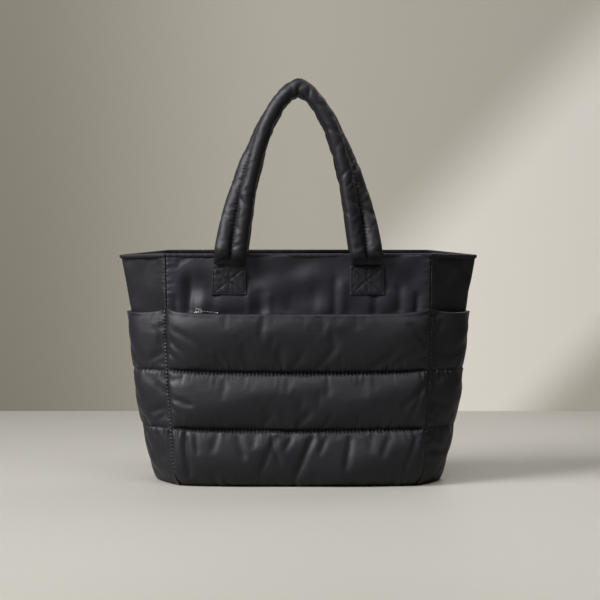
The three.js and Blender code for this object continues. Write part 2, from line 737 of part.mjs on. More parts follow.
add("front_panel", frontPanel(), NYLON);
add("back_panel", backPanel(), NYLON);
add("base_panel", basePanel(), NYLON_UNDER);
add("rim_binding", rimBinding(), NYLON);
add("front_pocket", frontPocket(), NYLON);
for (const [word, side] of [["left", -1], ["right", 1]]) {
  add(`${word}_gusset`, gusset(side), NYLON);
  add(`${word}_side_pocket`, sidePocket(side), NYLON);
}
for (const [word, side] of [["front", FRONT], ["back", BACK]]) {
  add(`${word}_handle`, handle(side), NYLON);
  add(`${word}_tab_left`, handleTab(side, -1), NYLON);
  add(`${word}_tab_right`, handleTab(side, 1), NYLON);
}
add("pocket_zip", zipTape(), NYLON_UNDER);

// The slider stands on the coil and points along it.
const zipHardware = new THREE.Group();
const [behind, here, ahead] = [-0.03, 0, 0.03].map((u) => zipPlace(SLIDER_SHARE + u).middle);
zipHardware.position.copy(here).setZ(here.z + TAPE_THICKNESS + JOIN_GAP);
zipHardware.quaternion.setFromUnitVectors(
  new THREE.Vector3(1, 0, 0),
  ahead.clone().sub(behind).normalize(),
);
bag.add(zipHardware);
add("zip_slider", sliderGeometry(), ZINC, zipHardware);
const pull = add("zip_pull", pullGeometry(), ZINC, zipHardware);
pull.position.z = sliderHeight + BAIL_ROOM / 2;
pull.rotation.y = THREE.MathUtils.degToRad(PULL_DROOP);

export default bag;
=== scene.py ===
# %% [markdown]
# A puffer tote bag, modelled round a imported frame of solids. The frame says where each piece is and
# how large; this lesson gives each piece its cloth, padding, seams, thread and metal.
# First the frame is loaded.

# %% Load the frame
import math
from functools import partial
import bpy
import numpy as np
from mathutils import Matrix, Vector
from mathutils.bvhtree import BVHTree


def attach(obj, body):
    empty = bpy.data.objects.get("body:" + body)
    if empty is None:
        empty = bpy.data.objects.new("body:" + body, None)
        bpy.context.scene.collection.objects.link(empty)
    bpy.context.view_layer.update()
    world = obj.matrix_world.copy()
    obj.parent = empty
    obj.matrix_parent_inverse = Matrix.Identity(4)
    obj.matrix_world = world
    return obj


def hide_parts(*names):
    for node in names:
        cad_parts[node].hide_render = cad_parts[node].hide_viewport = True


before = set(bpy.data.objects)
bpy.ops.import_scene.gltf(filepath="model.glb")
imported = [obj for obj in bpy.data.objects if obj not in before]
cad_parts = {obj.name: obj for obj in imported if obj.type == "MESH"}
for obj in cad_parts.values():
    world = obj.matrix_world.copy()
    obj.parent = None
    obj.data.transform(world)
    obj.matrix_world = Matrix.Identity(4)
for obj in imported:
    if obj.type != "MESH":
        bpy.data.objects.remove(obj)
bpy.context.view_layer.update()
MM = 0.001

# %% [markdown]
# The camera stands in front of the bag, a little above its rim, with a long lens. That keeps the
# upright edges nearly parallel, as in a catalogue picture. It looks down by about three degrees.

# %% Camera
CAMERA_X = 0.002
CAMERA_DISTANCE = 2.8
CAMERA_HEIGHT = 0.385
CAMERA_PITCH = math.radians(3.22)
LENS = 133.0  # on a 36 mm wide sensor

bpy.ops.object.camera_add(
    location=(CAMERA_X, -CAMERA_DISTANCE, CAMERA_HEIGHT),
    rotation=(math.pi / 2 - CAMERA_PITCH, 0, 0),
)
camera = bpy.context.object
camera.data.lens = LENS
camera.data.clip_end = 30
bpy.context.scene.camera = camera
bpy.context.scene.view_settings.view_transform = "Standard"
print("camera at", tuple(round(c, 3) for c in camera.location))

# %% [markdown]
# Materials are node trees. One function turns a hex colour, as a paint chart gives it, into the
# linear numbers that a shader works with. Another adds one node, sets it up and links it.

# %% Colour and node helpers
def colour(hex_code):
    parts = [int(hex_code[i:i + 2], 16) / 255 for i in (1, 3, 5)]
    linear = [c / 12.92 if c <= 0.04045 else ((c + 0.055) / 1.055) ** 2.4 for c in parts]
    return (*linear, 1.0)


def add_node(material, kind, links=None, values=None, **properties):
    """Adds a node with its properties, its sockets' values and the links into it."""
    made = material.node_tree.nodes.new(kind)
    for name, value in properties.items():
        setattr(made, name, value)
    for socket, value in (values or {}).items():
        made.inputs[socket].default_value = value
    for socket, source in (links or {}).items():
        material.node_tree.links.new(source, made.inputs[socket])
    return made


def new_material(name, surface, links):
    """A material with one Principled shader: values on its own sockets, and what is linked."""
    material = bpy.data.materials.new(name)
    material.use_nodes = True
    shader = material.node_tree.nodes["Principled BSDF"]
    for socket, value in surface.items():
        shader.inputs[socket].default_value = value
    for socket, source in links(material).items():
        material.node_tree.links.new(source, shader.inputs[socket])
    return material


def bump(material, height, strength, millimetres, over=None):
    """The normals of a Bump node, on top of another one's normals where there is one."""
    links = {"Height": height} if over is None else {"Height": height, "Normal": over}
    return add_node(material, "ShaderNodeBump", links,
                    {"Strength": strength, "Distance": millimetres * MM}).outputs["Normal"]


def blend_colours(material, share, first, second):
    """The output of a Mix node between two colours: each a hex code or another node's output."""
    made = add_node(material, "ShaderNodeMix", {"Factor": share}, data_type="RGBA")
    for socket, paint in zip((made.inputs[6], made.inputs[7]), (first, second)):
        if isinstance(paint, str):
            socket.default_value = colour(paint)
        else:
            material.node_tree.links.new(paint, socket)
    return made.outputs[2]


# %% [markdown]
# The room is a pale floor and a pale wall behind it, both matt painted board with a faint mottle.
# They only carry light and shadow: the floor is a flat disc and the wall a flat square. The slanting
# patch of daylight on the wall is painted, as on a studio backdrop, and so is the shade that darkens
# the wall towards its left end. The wall is see-through from its back, so that it doesn't stand in
# the way of a look at the bag from behind.

# %% Floor and wall
WALL_Y = 0.81
WALL_WIDTH = 3.0
FLOOR_WIDTH = 5.8
FLOOR_CORNERS = 128
MATT_BOARD = {"Roughness": 0.55}


def board_noise(material):
    place = add_node(material, "ShaderNodeTexCoord").outputs["Object"]
    return place, add_node(material, "ShaderNodeTexNoise", {"Vector": place},
                           {"Scale": 2.5, "Detail": 5.0}).outputs["Fac"]


def floor_links(material):
    return {"Base Color": blend_colours(material, board_noise(material)[1], "#9a978f", "#96938b")}


def wall_links(material):
    place, cloud = board_noise(material)
    mottled = blend_colours(material, cloud, "#a6a195", "#a49f92")

    def fade(direction, start, end):
        """0 before start and 1 after end, in metres along a direction."""
        along = add_node(material, "ShaderNodeVectorMath", {0: place}, {1: direction},
                         operation="DOT_PRODUCT").outputs["Value"]
        return add_node(material, "ShaderNodeMapRange", {"Value": along},
                        {"From Min": start, "From Max": end},
                        interpolation_type="SMOOTHSTEP").outputs["Result"]

    # Painted shade: towards the left the wall's paint darkens, where the lamps' light falls off.
    paint = blend_colours(material, fade((1, 0, 0), -0.52, 0.05), "#746f61", mottled)
    daylight = add_node(material, "ShaderNodeMath",
                        {0: fade((0.729, 0, -0.685), -0.14, 0.01),
                         1: fade((-0.71, 0, 0.70), -0.32, -0.22)}, operation="MULTIPLY")
    paint = blend_colours(material, daylight.outputs[0], paint, "#d6d1c7")
    behind = add_node(material, "ShaderNodeNewGeometry").outputs["Backfacing"]
    seen = add_node(material, "ShaderNodeMath", {1: behind}, {0: 1.0}, operation="SUBTRACT")
    return {"Base Color": paint, "Alpha": seen.outputs[0]}


def new_shape(name, add, **settings):
    """Adds one of the basic shapes and names it."""
    bpy.ops.object.select_all(action="DESELECT")
    add(**settings)
    shape = bpy.context.object
    shape.name = shape.data.name = name
    return shape


def room_plane(name, corners, place, links):
    """A flat piece of the room, one metre across its corners before it is placed."""
    plane = new_shape(name, bpy.ops.mesh.primitive_circle_add, vertices=corners, radius=0.5,
                      fill_type="NGON")
    plane.data.transform(place)
    plane.data.materials.append(new_material(f"matt_paint_{name}", MATT_BOARD, links))


upright = Matrix.Translation((0, WALL_Y, WALL_WIDTH / 2)) @ Matrix.Rotation(math.pi / 2, 4, "X")
square = Matrix.Scale(WALL_WIDTH * math.sqrt(2), 4) @ Matrix.Rotation(math.pi / 4, 4, "Z")
room_plane("floor", FLOOR_CORNERS, Matrix.Diagonal((FLOOR_WIDTH, FLOOR_WIDTH, 1, 1)), floor_links)
room_plane("wall", 4, upright @ square, wall_links)
print("room: floor and wall at y", WALL_Y)

# %% [markdown]
# The light is one large soft lamp at the left, in front of the bag and above it. It makes the left
# of each quilted band shine softly and leaves the right in shade. A weak lamp fills the shadows, one
# overhead lights the floor, and one above the wall's foot lights the bag's back. What lies past the
# floor's edge is a plain pale grey.

# %% Lamps
# name, place, target, size in metres, watts, colour and spread in degrees
LAMPS = [
    ("key", (-1.9, -1.05, 2.0), (0, 0, 0.2), (1.2, 1.2), 62, "#fbfbff", 115),
    ("fill", (1.5, -2.4, 1.2), (0, 0, 0.2), (1.6, 1.6), 0.3, "#f1f4ff", 180),
    ("back_light", (0.5, 0.74, 1.25), (0.05, 0.1, 0.15), (1.0, 0.3), 4, "#ffffff", 120),
    ("floor_light", (0.5, -1.2, 2.6), (0.2, -0.6, 0), (2.4, 1.2), 10, "#ffffff", 70),
]
WORLD_COLOUR = "#e9e6e0"
WORLD_LIGHT, WORLD_BACKDROP = 0.05, 0.6  # its strength on the bag, and seen past the floor

for name, place, target, size, watts, tint, spread in LAMPS:
    bpy.ops.object.light_add(type="AREA", location=place)
    lamp = bpy.context.object
    lamp.name = name
    lamp.rotation_euler = (Vector(target) - Vector(place)).to_track_quat("-Z", "Y").to_euler()
    lamp.data.shape = "RECTANGLE"
    lamp.data.size, lamp.data.size_y = size
    lamp.data.energy = watts
    lamp.data.color = colour(tint)[:3]
    lamp.data.spread = math.radians(spread)

world = bpy.data.worlds.new("room_light")
bpy.context.scene.world = world
world.use_nodes = True
background = world.node_tree.nodes["Background"].inputs
background["Color"].default_value = colour(WORLD_COLOUR)
seen = add_node(world, "ShaderNodeLightPath").outputs["Is Camera Ray"]
strength = add_node(world, "ShaderNodeMapRange", {"Value": seen},
                    {"To Min": WORLD_LIGHT, "To Max": WORLD_BACKDROP}).outputs["Result"]
world.node_tree.links.new(strength, background["Strength"])

# %% [markdown]
# Shell cloth is a plain-woven nylon, pressed between hot rollers so that the wadding can't come
# through. That gives a low satin shine, which breaks up wherever the cloth puckers at a seam.
# The front wall takes a copy of the same cloth painted a little lighter, as painted light for the
# extra light that its smooth, stretched face reflects; that copy's shine is also slightly evener.
# The threads are a quarter of a millimetre apart, too fine to show, so the weave is drawn at 1 mm.
# The cloth's own UV map is in metres, so a pattern keeps its real size on every panel. Attributes
# say how near a point is to a quilting seam and to an upright seam, and how deep it lies in a row of
# stitches. Each stitch pulls a small dimple, one every 4.5 mm, whose shade is painted into the colour
# as a dark dot, so a seam is a dotted line.

# %% Shell cloth material
WEAVE_PITCH = 1.0 * MM
DIMPLE_PITCH = 4.5 * MM
WAVE_UNIT = 0.314159  # a wave texture of scale 1 repeats at this length
GATHER_LONG, GATHER_SHORT = 7, 3  # millimetres: fine gathers stand square to their seam
GLOSS_SPREAD = 0.05
DIMPLE_SHADE_COLOUR = "#030304"
CLOTH_SURFACE = {"IOR": 1.53, "Specular IOR Level": 0.29, "Sheen Weight": 0.02,
                 "Sheen Roughness": 0.4}


def woven_cloth(name, dark, light, roughness, weave_strength, pucker_strength):
    def links(material):
        place = add_node(material, "ShaderNodeTexCoord").outputs["UV"]
        near = {key: add_node(material, "ShaderNodeAttribute", attribute_name=key).outputs["Fac"]
                for key in ("near_quilting", "near_upright", "stitched_across", "stitched_up")}

        def noise(across, along, detail=3.0, rough=0.5):
            """Clouds of so many millimetres across and along the cloth."""
            scaled = add_node(material, "ShaderNodeMapping", {"Vector": place},
                              {"Scale": (1 / (across * MM), 1 / (along * MM), 1)})
            return add_node(material, "ShaderNodeTexNoise", {"Vector": scaled.outputs["Vector"]},
                            {"Scale": 1.0, "Detail": detail, "Roughness": rough}).outputs["Fac"]

        def maths(operation, first, second):
            made = add_node(material, "ShaderNodeMath", operation=operation)
            for socket, value in zip(made.inputs, (first, second)):
                if isinstance(value, (int, float)):
                    socket.default_value = value
                else:
                    material.node_tree.links.new(value, socket)
            return made.outputs[0]

        def wave(direction, pitch):
            return add_node(material, "ShaderNodeTexWave", {"Vector": place},
                            {"Scale": WAVE_UNIT / pitch, "Distortion": 0.4},
                            wave_type="BANDS", bands_direction=direction).outputs["Fac"]

        def two_ways(first, across, second, up):
            """A pattern for the seams that run across and one for those that run up."""
            return maths("ADD", maths("MULTIPLY", first, near[across]),
                         maths("MULTIPLY", second, near[up]))

        weave = maths("MULTIPLY", wave("X", WEAVE_PITCH), wave("Y", WEAVE_PITCH))
        dimples_and_shade = two_ways(wave("X", DIMPLE_PITCH), "stitched_across",
                           wave("Y", DIMPLE_PITCH), "stitched_up")
        gathers = two_ways(noise(GATHER_SHORT, GATHER_LONG), "near_quilting",
                           noise(GATHER_LONG, GATHER_SHORT), "near_upright")
        low = bump(material, noise(22, 15, 5.0, 0.6), 0.16, 3.0)
        mid = bump(material, maths("SUBTRACT", gathers, dimples_and_shade), pucker_strength, 2.0, low)
        mottle = noise(40, 30, 4.0)
        gloss = add_node(material, "ShaderNodeMapRange", {"Value": mottle},
                         {"From Min": 0.3, "From Max": 0.7, "To Min": roughness - GLOSS_SPREAD,
                          "To Max": roughness + GLOSS_SPREAD})
        shade = maths("ADD", maths("MULTIPLY", mottle, 0.6), maths("MULTIPLY", weave, 0.4))
        cloth = blend_colours(material, shade, dark, light)
        # Painted shade: each stitch's dimple is coloured dark for the shade that falls in it.
        return {"Base Color": blend_colours(material, dimples_and_shade, cloth, DIMPLE_SHADE_COLOUR),
                "Roughness": gloss.outputs["Result"],
                "Normal": bump(material, weave, weave_strength, 0.2, mid)}
    return new_material(name, CLOTH_SURFACE, links)


shell_cloth = woven_cloth("calendered_nylon_cloth", "#0d0d11", "#141419", 0.54, 0.22, 0.55)
# Painted light: the front wall's copy of the cloth is coloured lighter for the light its smooth face
# reflects.
painted_lighter_cloth = woven_cloth("calendered_nylon_cloth_painted_lighter", "#14141a", "#1d1d25", 0.52, 0.22, 0.55)
tape_cloth = woven_cloth("nylon_twill_tape", "#121218", "#1a1a22", 0.55, 0.4, 0.1)

# %% [markdown]
# Sewing thread is spun polyester, black and a little darker than the cloth, because its fibres
# swallow the light. The zip's coil is a smooth nylon filament. The slider and its pull are zinc,
# plated with nickel: a smooth metal, slightly clouded by handling.

# %% Thread, coil and metal materials
def object_noise(material, millimetres, detail=3.0):
    place = add_node(material, "ShaderNodeTexCoord").outputs["Object"]
    return add_node(material, "ShaderNodeTexNoise", {"Vector": place},
                    {"Scale": 1 / (millimetres * MM), "Detail": detail}).outputs["Fac"]


def fibre_links(dark, light, millimetres, strength):
    def links(material):
        fibres = object_noise(material, millimetres)
        return {"Base Color": blend_colours(material, fibres, dark, light),
                "Normal": bump(material, fibres, strength, 0.1)}
    return links


thread = new_material("polyester_thread",
                      {"Roughness": 0.8, "IOR": 1.57, "Specular IOR Level": 0.1},
                      fibre_links("#08080a", "#131316", 0.4, 0.4))
coil = new_material("nylon_coil", {"Roughness": 0.35, "IOR": 1.53},
                    fibre_links("#131315", "#1e1e21", 0.8, 0.2))


def metal_links(material):
    cloud = object_noise(material, 2.0, 5.0)
    wear = add_node(material, "ShaderNodeMapRange", {"Value": cloud},
                    {"To Min": 0.16, "To Max": 0.34})
    return {"Base Color": blend_colours(material, cloud, "#b7b9bd", "#d6d7d9"),
            "Roughness": wear.outputs["Result"]}


plated_zinc = new_material("nickel_plated_zinc", {"Metallic": 1.0}, metal_links)

# %% [markdown]
# The body in plan is a hexagon: a front and a back panel, and two ends that fold outwards in the
# middle. The same shares of its main sizes as in the solids give its outline at any height.

# %% The outline of the body
BODY_HEIGHT = 0.288
RIM_HALF_WIDTH = 0.225
RIM_SEAM_HALF_SPAN = 0.166
BASE_HALF_DEPTH = 0.064
PANEL_BOW = 0.005
CORNER_SAG = 0.004
BACK_RISE = 0.002
WALL_THICKNESS = 0.005
BASE_THICKNESS = 0.004
GUSSET_DENT = 0.003
FOLD_ROUNDING = 0.12
FRONT, BACK, LEFT, RIGHT = -1, 1, -1, 1

# height, fold, seam and depth, as shares of the four sizes above
SECTIONS = np.array([
    (0.0, 0.782, 0.874, 0.985), (0.03, 0.795, 0.903, 0.985), (0.08, 0.812, 0.924, 0.98),
    (0.247, 0.86, 0.943, 0.93), (0.493, 0.904, 0.976, 0.82), (0.694, 0.931, 0.988, 0.734),
    (0.757, 0.946, 0.991, 0.708), (0.806, 0.955, 0.993, 0.688), (1.0, 1.0, 1.0, 0.61),
])


def ease(share):
    share = np.clip(share, 0, 1)
    return share * share * (3 - 2 * share)


def section_share(column, height):
    """A column of the table at any height, on a smooth curve through its rows."""
    heights, values = SECTIONS[:, 0], SECTIONS[:, column]
    share = np.clip(np.asarray(height, float) / BODY_HEIGHT, 0, 1)
    last = len(heights) - 1
    before = np.maximum(np.arange(last + 1) - 1, 0)
    after = np.minimum(np.arange(last + 1) + 1, last)
    slope = (values[after] - values[before]) / (heights[after] - heights[before])
    upper = np.clip(np.searchsorted(heights, share), 1, last)
    lower = upper - 1
    gap = heights[upper] - heights[lower]
    s = (share - heights[lower]) / gap
    rise = (slope[lower] * (1 - s) - slope[upper] * s) * gap * s * (1 - s)
    return values[lower] + (values[upper] - values[lower]) * ease(s) + rise


def hexagon(height):
    fold = RIM_HALF_WIDTH * section_share(1, height)
    seam = RIM_SEAM_HALF_SPAN * section_share(2, height)
    depth = BASE_HALF_DEPTH * section_share(3, height)
    return fold, seam, depth, np.arctan2(depth, fold - seam)


def rim_height(across, back):
    return BODY_HEIGHT - CORNER_SAG * across + BACK_RISE * (back + 1) / 2


def panel_point(side, u, out, height):
    """A point of the front or back panel; u is -1 to 1, and out is from the body's outer face."""
    fold, seam, depth, angle = hexagon(height)
    half = seam + out * np.tan(angle / 2)
    return np.stack([u * half, side * (depth + out + PANEL_BOW * (1 - u * u)), height + 0 * u], 1)


def fold_share(v):
    e = FOLD_ROUNDING
    return 1 - (np.sqrt(v * v + e * e) - e) / (math.sqrt(1 + e * e) - e)


def gusset_point(side, v, out, height):
    """A point of an end; v runs from the front seam, -1, over the fold, 0, to the back seam, 1."""
    fold, seam, depth, angle = hexagon(height)
    seam_x = seam + out * np.tan(angle / 2)
    fold_x = fold + out / np.sin(angle)
    x = seam_x + (fold_x - seam_x) * fold_share(v)
    return np.stack([side * x, v * (depth + out), height + 0 * v], 1)


print("half width at rim, pocket and floor:",
      [round(float(hexagon(h)[0]), 3) for h in (BODY_HEIGHT, 0.214, 0.0)])

# %% [markdown]
# Every cloth piece starts as a flat rectangle, as it would be cut. Its points are then laid on their
# place in space, so the rectangle's UV map stays on it as the direction of the threads. The helpers
# below cut a piece, set its UV map in metres, and mark how near each point is to its seams.

# %% Cutting cloth
def take(piece):
    """Makes a piece the only selected one and the active one."""
    bpy.ops.object.select_all(action="DESELECT")
    piece.select_set(True)
    bpy.context.view_layer.objects.active = piece


def apply_modifier(piece, name, kind, **settings):
    modifier = piece.modifiers.new(name, kind)
    for key, value in settings.items():
        setattr(modifier, key, value)
    bpy.ops.object.modifier_apply(modifier=name)


def points_of(piece):
    flat = np.empty(len(piece.data.vertices) * 3)
    piece.data.vertices.foreach_get("co", flat)
    return flat.reshape(-1, 3)


def set_points(piece, points):
    piece.data.vertices.foreach_set("co", np.ascontiguousarray(points).ravel())
    piece.data.update()


def cut_cloth(name, columns, rows):
    """A flat grid. Gives it back with each point's place across, -1 to 1, and its row number."""
    piece = new_shape(name, bpy.ops.mesh.primitive_grid_add, x_subdivisions=columns,
                      y_subdivisions=rows, size=1)
    flat = points_of(piece)
    return piece, flat[:, 0] * 2, np.rint((flat[:, 1] + 0.5) * rows).astype(int)


def real_uv(piece, across, along):
    """Sets the UV map to two lengths in metres, given for each point."""
    corners = np.empty(len(piece.data.loops), int)
    piece.data.loops.foreach_get("vertex_index", corners)
    pairs = np.stack([across[corners], along[corners]], 1)
    piece.data.uv_layers.active.data.foreach_set("uv", pairs.ravel())


def mark(piece, **attributes):
    """Keeps a value for each point under a name, for the materials to read."""
    for name, values in attributes.items():
        layer = piece.data.attributes.new(name, "FLOAT", "POINT")
        layer.data.foreach_set("value", np.ascontiguousarray(values, dtype=np.float32))


def crowd(share, amount=0.5):
    """Moves evenly spaced shares, -1 to 1, towards both ends."""
    return share * (1 - amount) + np.sin(share * math.pi / 2) * amount


def quarter_round(share):
    """Rises from 0 to 1 like a quarter of a circle."""
    s = np.clip(share, 0, 1)
    return np.sqrt(s * (2 - s))


def field(seed, x, z, x_length, z_length, count=28):
    """Smooth noise of about unit height, the same on every run: a sum of slanting waves."""
    draw = np.random.default_rng(seed)
    total = 0
    for _ in range(count):
        angle = draw.uniform(0, math.pi)
        phase = draw.uniform(0, 2 * math.pi)
        stretch = draw.uniform(0.7, 1.5)
        total = total + np.sin(2 * math.pi * stretch * (
            x / x_length * math.cos(angle) + z / z_length * math.sin(angle)) + phase)
    return total * math.sqrt(2 / count)


# %% [markdown]
# Padding is blown up with air. The cloth is held along its seams, given slightly more length than
# its place needs, and pressed from inside for twenty frames with no gravity. The spare length has
# to go somewhere, so it gathers in small folds that run out from the seams, as on the real thing.
# The movement is capped, so that a piece stays clear of its neighbours.

# %% Air and lining
AIR_FRAMES = 20
CLOTH_STIFFNESS = 15
LINING_THICKNESS = 1 * MM


def blow_up(piece, held, spare, cap, pressure=4.0, bending=2.0):
    """Runs the cloth on a piece; held is 1 where a point can't move, and less where it may."""
    start = points_of(piece)
    group = piece.vertex_groups.new(name="held")
    for weight in np.unique(np.round(held, 2)):
        if weight > 0:
            chosen = np.flatnonzero(np.abs(held - weight) < 0.006).tolist()
            group.add(chosen, float(weight), "REPLACE")
    cloth = piece.modifiers.new("air", "CLOTH")
    settings = cloth.settings
    settings.quality = 5
    settings.mass = 0.3
    settings.use_pressure = True
    settings.uniform_pressure_force = pressure
    settings.tension_stiffness = settings.compression_stiffness = CLOTH_STIFFNESS
    settings.shear_stiffness = 5
    settings.bending_stiffness = bending
    settings.shrink_min = -spare
    settings.vertex_group_mass = "held"
    settings.effector_weights.gravity = 0
    cloth.collision_settings.use_collision = False
    cloth.point_cache.frame_start, cloth.point_cache.frame_end = 1, AIR_FRAMES
    for number in range(1, AIR_FRAMES + 1):
        bpy.context.scene.frame_set(number)
    bpy.context.view_layer.objects.active = piece
    bpy.ops.object.modifier_apply(modifier="air")
    piece.vertex_groups.clear()
    moved = points_of(piece) - start
    length = np.linalg.norm(moved, axis=1)
    moved *= (np.minimum(length, cap) / np.maximum(length, 1e-9))[:, None]
    set_points(piece, start + moved)
    print(f"{piece.name}: {len(start)} points, moved {length.mean() * 1000:.1f} mm on average, "
          f"{length.max() * 1000:.1f} at most")


def line_with(piece, inner):
    """Gives a sheet its inner face and closed edges, then lays that face on its own points."""
    count = len(piece.data.vertices)
    bpy.context.view_layer.objects.active = piece
    apply_modifier(piece, "lining", "SOLIDIFY", thickness=LINING_THICKNESS, offset=-1)
    points = points_of(piece)
    points[count:] = inner
    set_points(piece, points)


def dress(piece, material, body, node_name):
    """A material, and what the frame needs to know."""
    piece.data.materials.clear()
    piece.data.materials.append(material)
    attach(piece, body)
    if node_name:
        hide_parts(node_name)


def finish_cloth(piece, material, node_name, levels=1):
    """Subdivision, smooth shading and the dress of a piece of cloth."""
    take(piece)
    if levels:
        apply_modifier(piece, "rounding", "SUBSURF", levels=levels, render_levels=levels)
    bpy.ops.object.shade_smooth()
    dress(piece, material, "bag", node_name)


# %% [markdown]
# A quilted field is three bands between pressed seams. Padding is fullest in the middle of a band.
# Beside a seam the cloth is gathered: small folds stand square to the seam and die out within about
# a centimetre. These are laid on first, and the air then rounds and mixes them. Both kinds
# of pocket are laid, marked, filled and lined by the same function at the end of the cell.

# %% Quilting
POCKET_HEIGHT = 0.214
QUILT_BANDS = 3
FLOOR_GAP = 0.0005
PRESSED_SEAM = 0.0018
PUFF_FULLNESS = 0.5
LIP_FULLNESS = 0.4
BAND_HEIGHT = POCKET_HEIGHT / QUILT_BANDS
GATHER_PITCH, GATHER_REACH, GATHER_START = 0.0065, 0.0055, 0.006
UPRIGHT_PITCH = 0.010  # of the gathers beside an upright seam
NEAR_QUILTING, NEAR_UPRIGHT = 0.006, 0.010  # metres in which the marks of a seam fade
STITCH_DENT = 2 * MM
PAST_LIP = 0.03  # a distance at which no seam is felt
TOUCHING = 1e-6
LIP_ROWS = 6
LIP_ROUND = 0.35  # height of the rolled lip as a share of its padding
LIP_EASE_START, LIP_EASE = 2.6, 0.4  # in bands: where the padding leans towards the lip
LIP_LENGTH = 0.012  # of cloth for each radian of the roll
LIP_UNDER, LIP_TURN, LINING_DROP = 0.0008, 0.005, 0.006
LINING_EASE_START, LINING_EASE, LINING_TUCK = 2.8, 0.2, 2.9  # in bands


def puff_share(raw, open_top):
    """Share of full padding; raw counts bands from the floor."""
    band = np.clip(np.floor(raw), 0, QUILT_BANDS - 1)
    s = np.clip(raw - band, 0, 1)
    puff = (4 * s * (1 - s)) ** PUFF_FULLNESS
    if open_top:
        near_lip = (band == QUILT_BANDS - 1) & (s > 0.5)
        puff = np.where(near_lip, np.maximum(puff, LIP_FULLNESS), puff)
    return puff


def quilt_height(raw, u, sag, rise, foot=FLOOR_GAP):
    share = raw / QUILT_BANDS
    hanging = sag * (1 - u * u) * np.sin(math.pi * share)
    return foot + (POCKET_HEIGHT - foot) * share - hanging + rise * np.abs(u) ** 6 * share ** 4


def quilt_rows(row, per_band):
    """Rows of a grid as band counts, closer together beside the seams."""
    band = np.minimum(row // per_band, QUILT_BANDS - 1)
    s = np.clip(row / per_band - band, 0, 1)
    return band + 0.5 + 0.5 * crowd(2 * s - 1)


def seam_distance(raw, top_is_seam=False):
    """Metres to the nearest quilting seam, and which side of which seam it is."""
    nearest = np.rint(raw)
    distance = np.abs(raw - nearest) * BAND_HEIGHT
    if not top_is_seam:
        distance = np.where(nearest == QUILT_BANDS, PAST_LIP, distance)
    return distance, nearest * 2 + (raw > nearest)


def in_seam(distance):
    """1 in the line of the stitches and 0 a few millimetres off it."""
    return np.exp(-(distance / STITCH_DENT) ** 2)


def gathers(seed, along, distance, which, pitch, reach, height):
    """Small folds that stand square to a seam and start a little way off it."""
    total = np.zeros_like(along)
    for key in np.unique(which):
        here = which == key
        wave = field(seed + int(key), along[here], distance[here], pitch, pitch * 9, 16)
        rise = np.clip(distance[here] / (reach * 0.35), 0, 1)
        uneven = np.clip(0.8 + 0.6 * field(seed + 7 + int(key), along[here], 0 * along[here],
                                           0.05, 1.0, 12), 0.15, 2.0)
        total[here] = height * uneven * wave * rise * np.exp(-distance[here] / reach)
    return total


def creases(x, z, table):
    """Depth pressed in by straight folds: from (x, z) to (x, z), half width and depth, in mm."""
    total = np.zeros_like(x)
    for x0, z0, x1, z1, wide, deep in table:
        start, run = np.array([x0, z0]) * MM, np.array([x1 - x0, z1 - z0]) * MM
        length = np.hypot(*run)
        along = ((x - start[0]) * run[0] + (z - start[1]) * run[1]) / length ** 2
        off = ((x - start[0]) * run[1] - (z - start[1]) * run[0]) / length
        fade = np.exp(-(np.maximum(0, np.abs(along - 0.5) - 0.32) / 0.16) ** 2)
        total += deep * MM * np.exp(-(off / (wide * MM)) ** 2) * fade
    return total


def pocket_sheet(name, columns, per_band, crowding):
    """The flat cloth of a pocket, with rows for the roll of its lip."""
    piece, u, row = cut_cloth(name, columns, QUILT_BANDS * per_band + LIP_ROWS)
    raw = quilt_rows(np.minimum(row, QUILT_BANDS * per_band), per_band)
    roll = np.maximum(0, row - QUILT_BANDS * per_band) / LIP_ROWS * math.pi
    return piece, crowd(u, crowding), row, raw, roll


def make_pocket(sheet, across, height, distance, gap, padding, inside, place, node_name,
                pinched, near_upright, spare):
    """Lays a pocket's cloth on its place, marks its seams, fills it with air and lines it."""
    piece, u, row, raw, roll = sheet
    outer = place(inside + padding * (0.5 + 0.5 * np.cos(roll)), height, 0)
    leaning = ease((raw - LIP_EASE_START) / LIP_EASE)
    outer[:, 2] += LIP_ROUND * padding * (np.sin(roll) - leaning)
    set_points(piece, outer)
    real_uv(piece, across, height + LIP_LENGTH * roll)
    mark(piece, near_quilting=np.exp(-distance / NEAR_QUILTING),
         stitched_across=in_seam(distance) * (raw < QUILT_BANDS - 0.5) * (raw > 0.5),
         stitched_up=in_seam(gap), near_upright=near_upright * np.exp(-gap / NEAR_UPRIGHT))
    fixed = (distance < TOUCHING) | (np.abs(u) > 1 - TOUCHING) | (row == 0) | (row == row.max())
    held = np.maximum(np.where(fixed, 1.0, np.where(roll > 0, 0.5, 0.0)), pinched)
    blow_up(piece, held, spare=spare, cap=0.0025)
    drop = np.where(roll > 0, LIP_UNDER + LIP_TURN * (1 - roll / math.pi),
                    LINING_DROP * np.clip((raw - LINING_EASE_START) / LINING_EASE, 0, 1))
    line_with(piece, place(inside, height - drop, raw > LINING_TUCK))
    finish_cloth(piece, shell_cloth, node_name)
    print(f"{piece.name}: {len(piece.data.polygons)} faces")
    return piece


# %% [markdown]
# The front pocket is the largest padded piece. Its top edge rolls over as a soft lip, its seams hang
# a little in the middle, and its lower corners are cut away by the bag's curved foot. The folds in
# the table are the ones that a hand would press in: slanting in the lowest band, and fanned out from
# the seam at the ends of the others.

# %% Front pocket
FRONT_PUFF = 0.012
FRONT_UNEVEN = 0.10
FRONT_TUCK = 0.0022
QUILT_SAG = 0.003
LIP_RISE = 0.006
CORNER_LIFT = 0.003
FRONT_MOUTH_GAP = 0.014
FRONT_SLACK = 0.001
JOIN_GAP = 0.0003

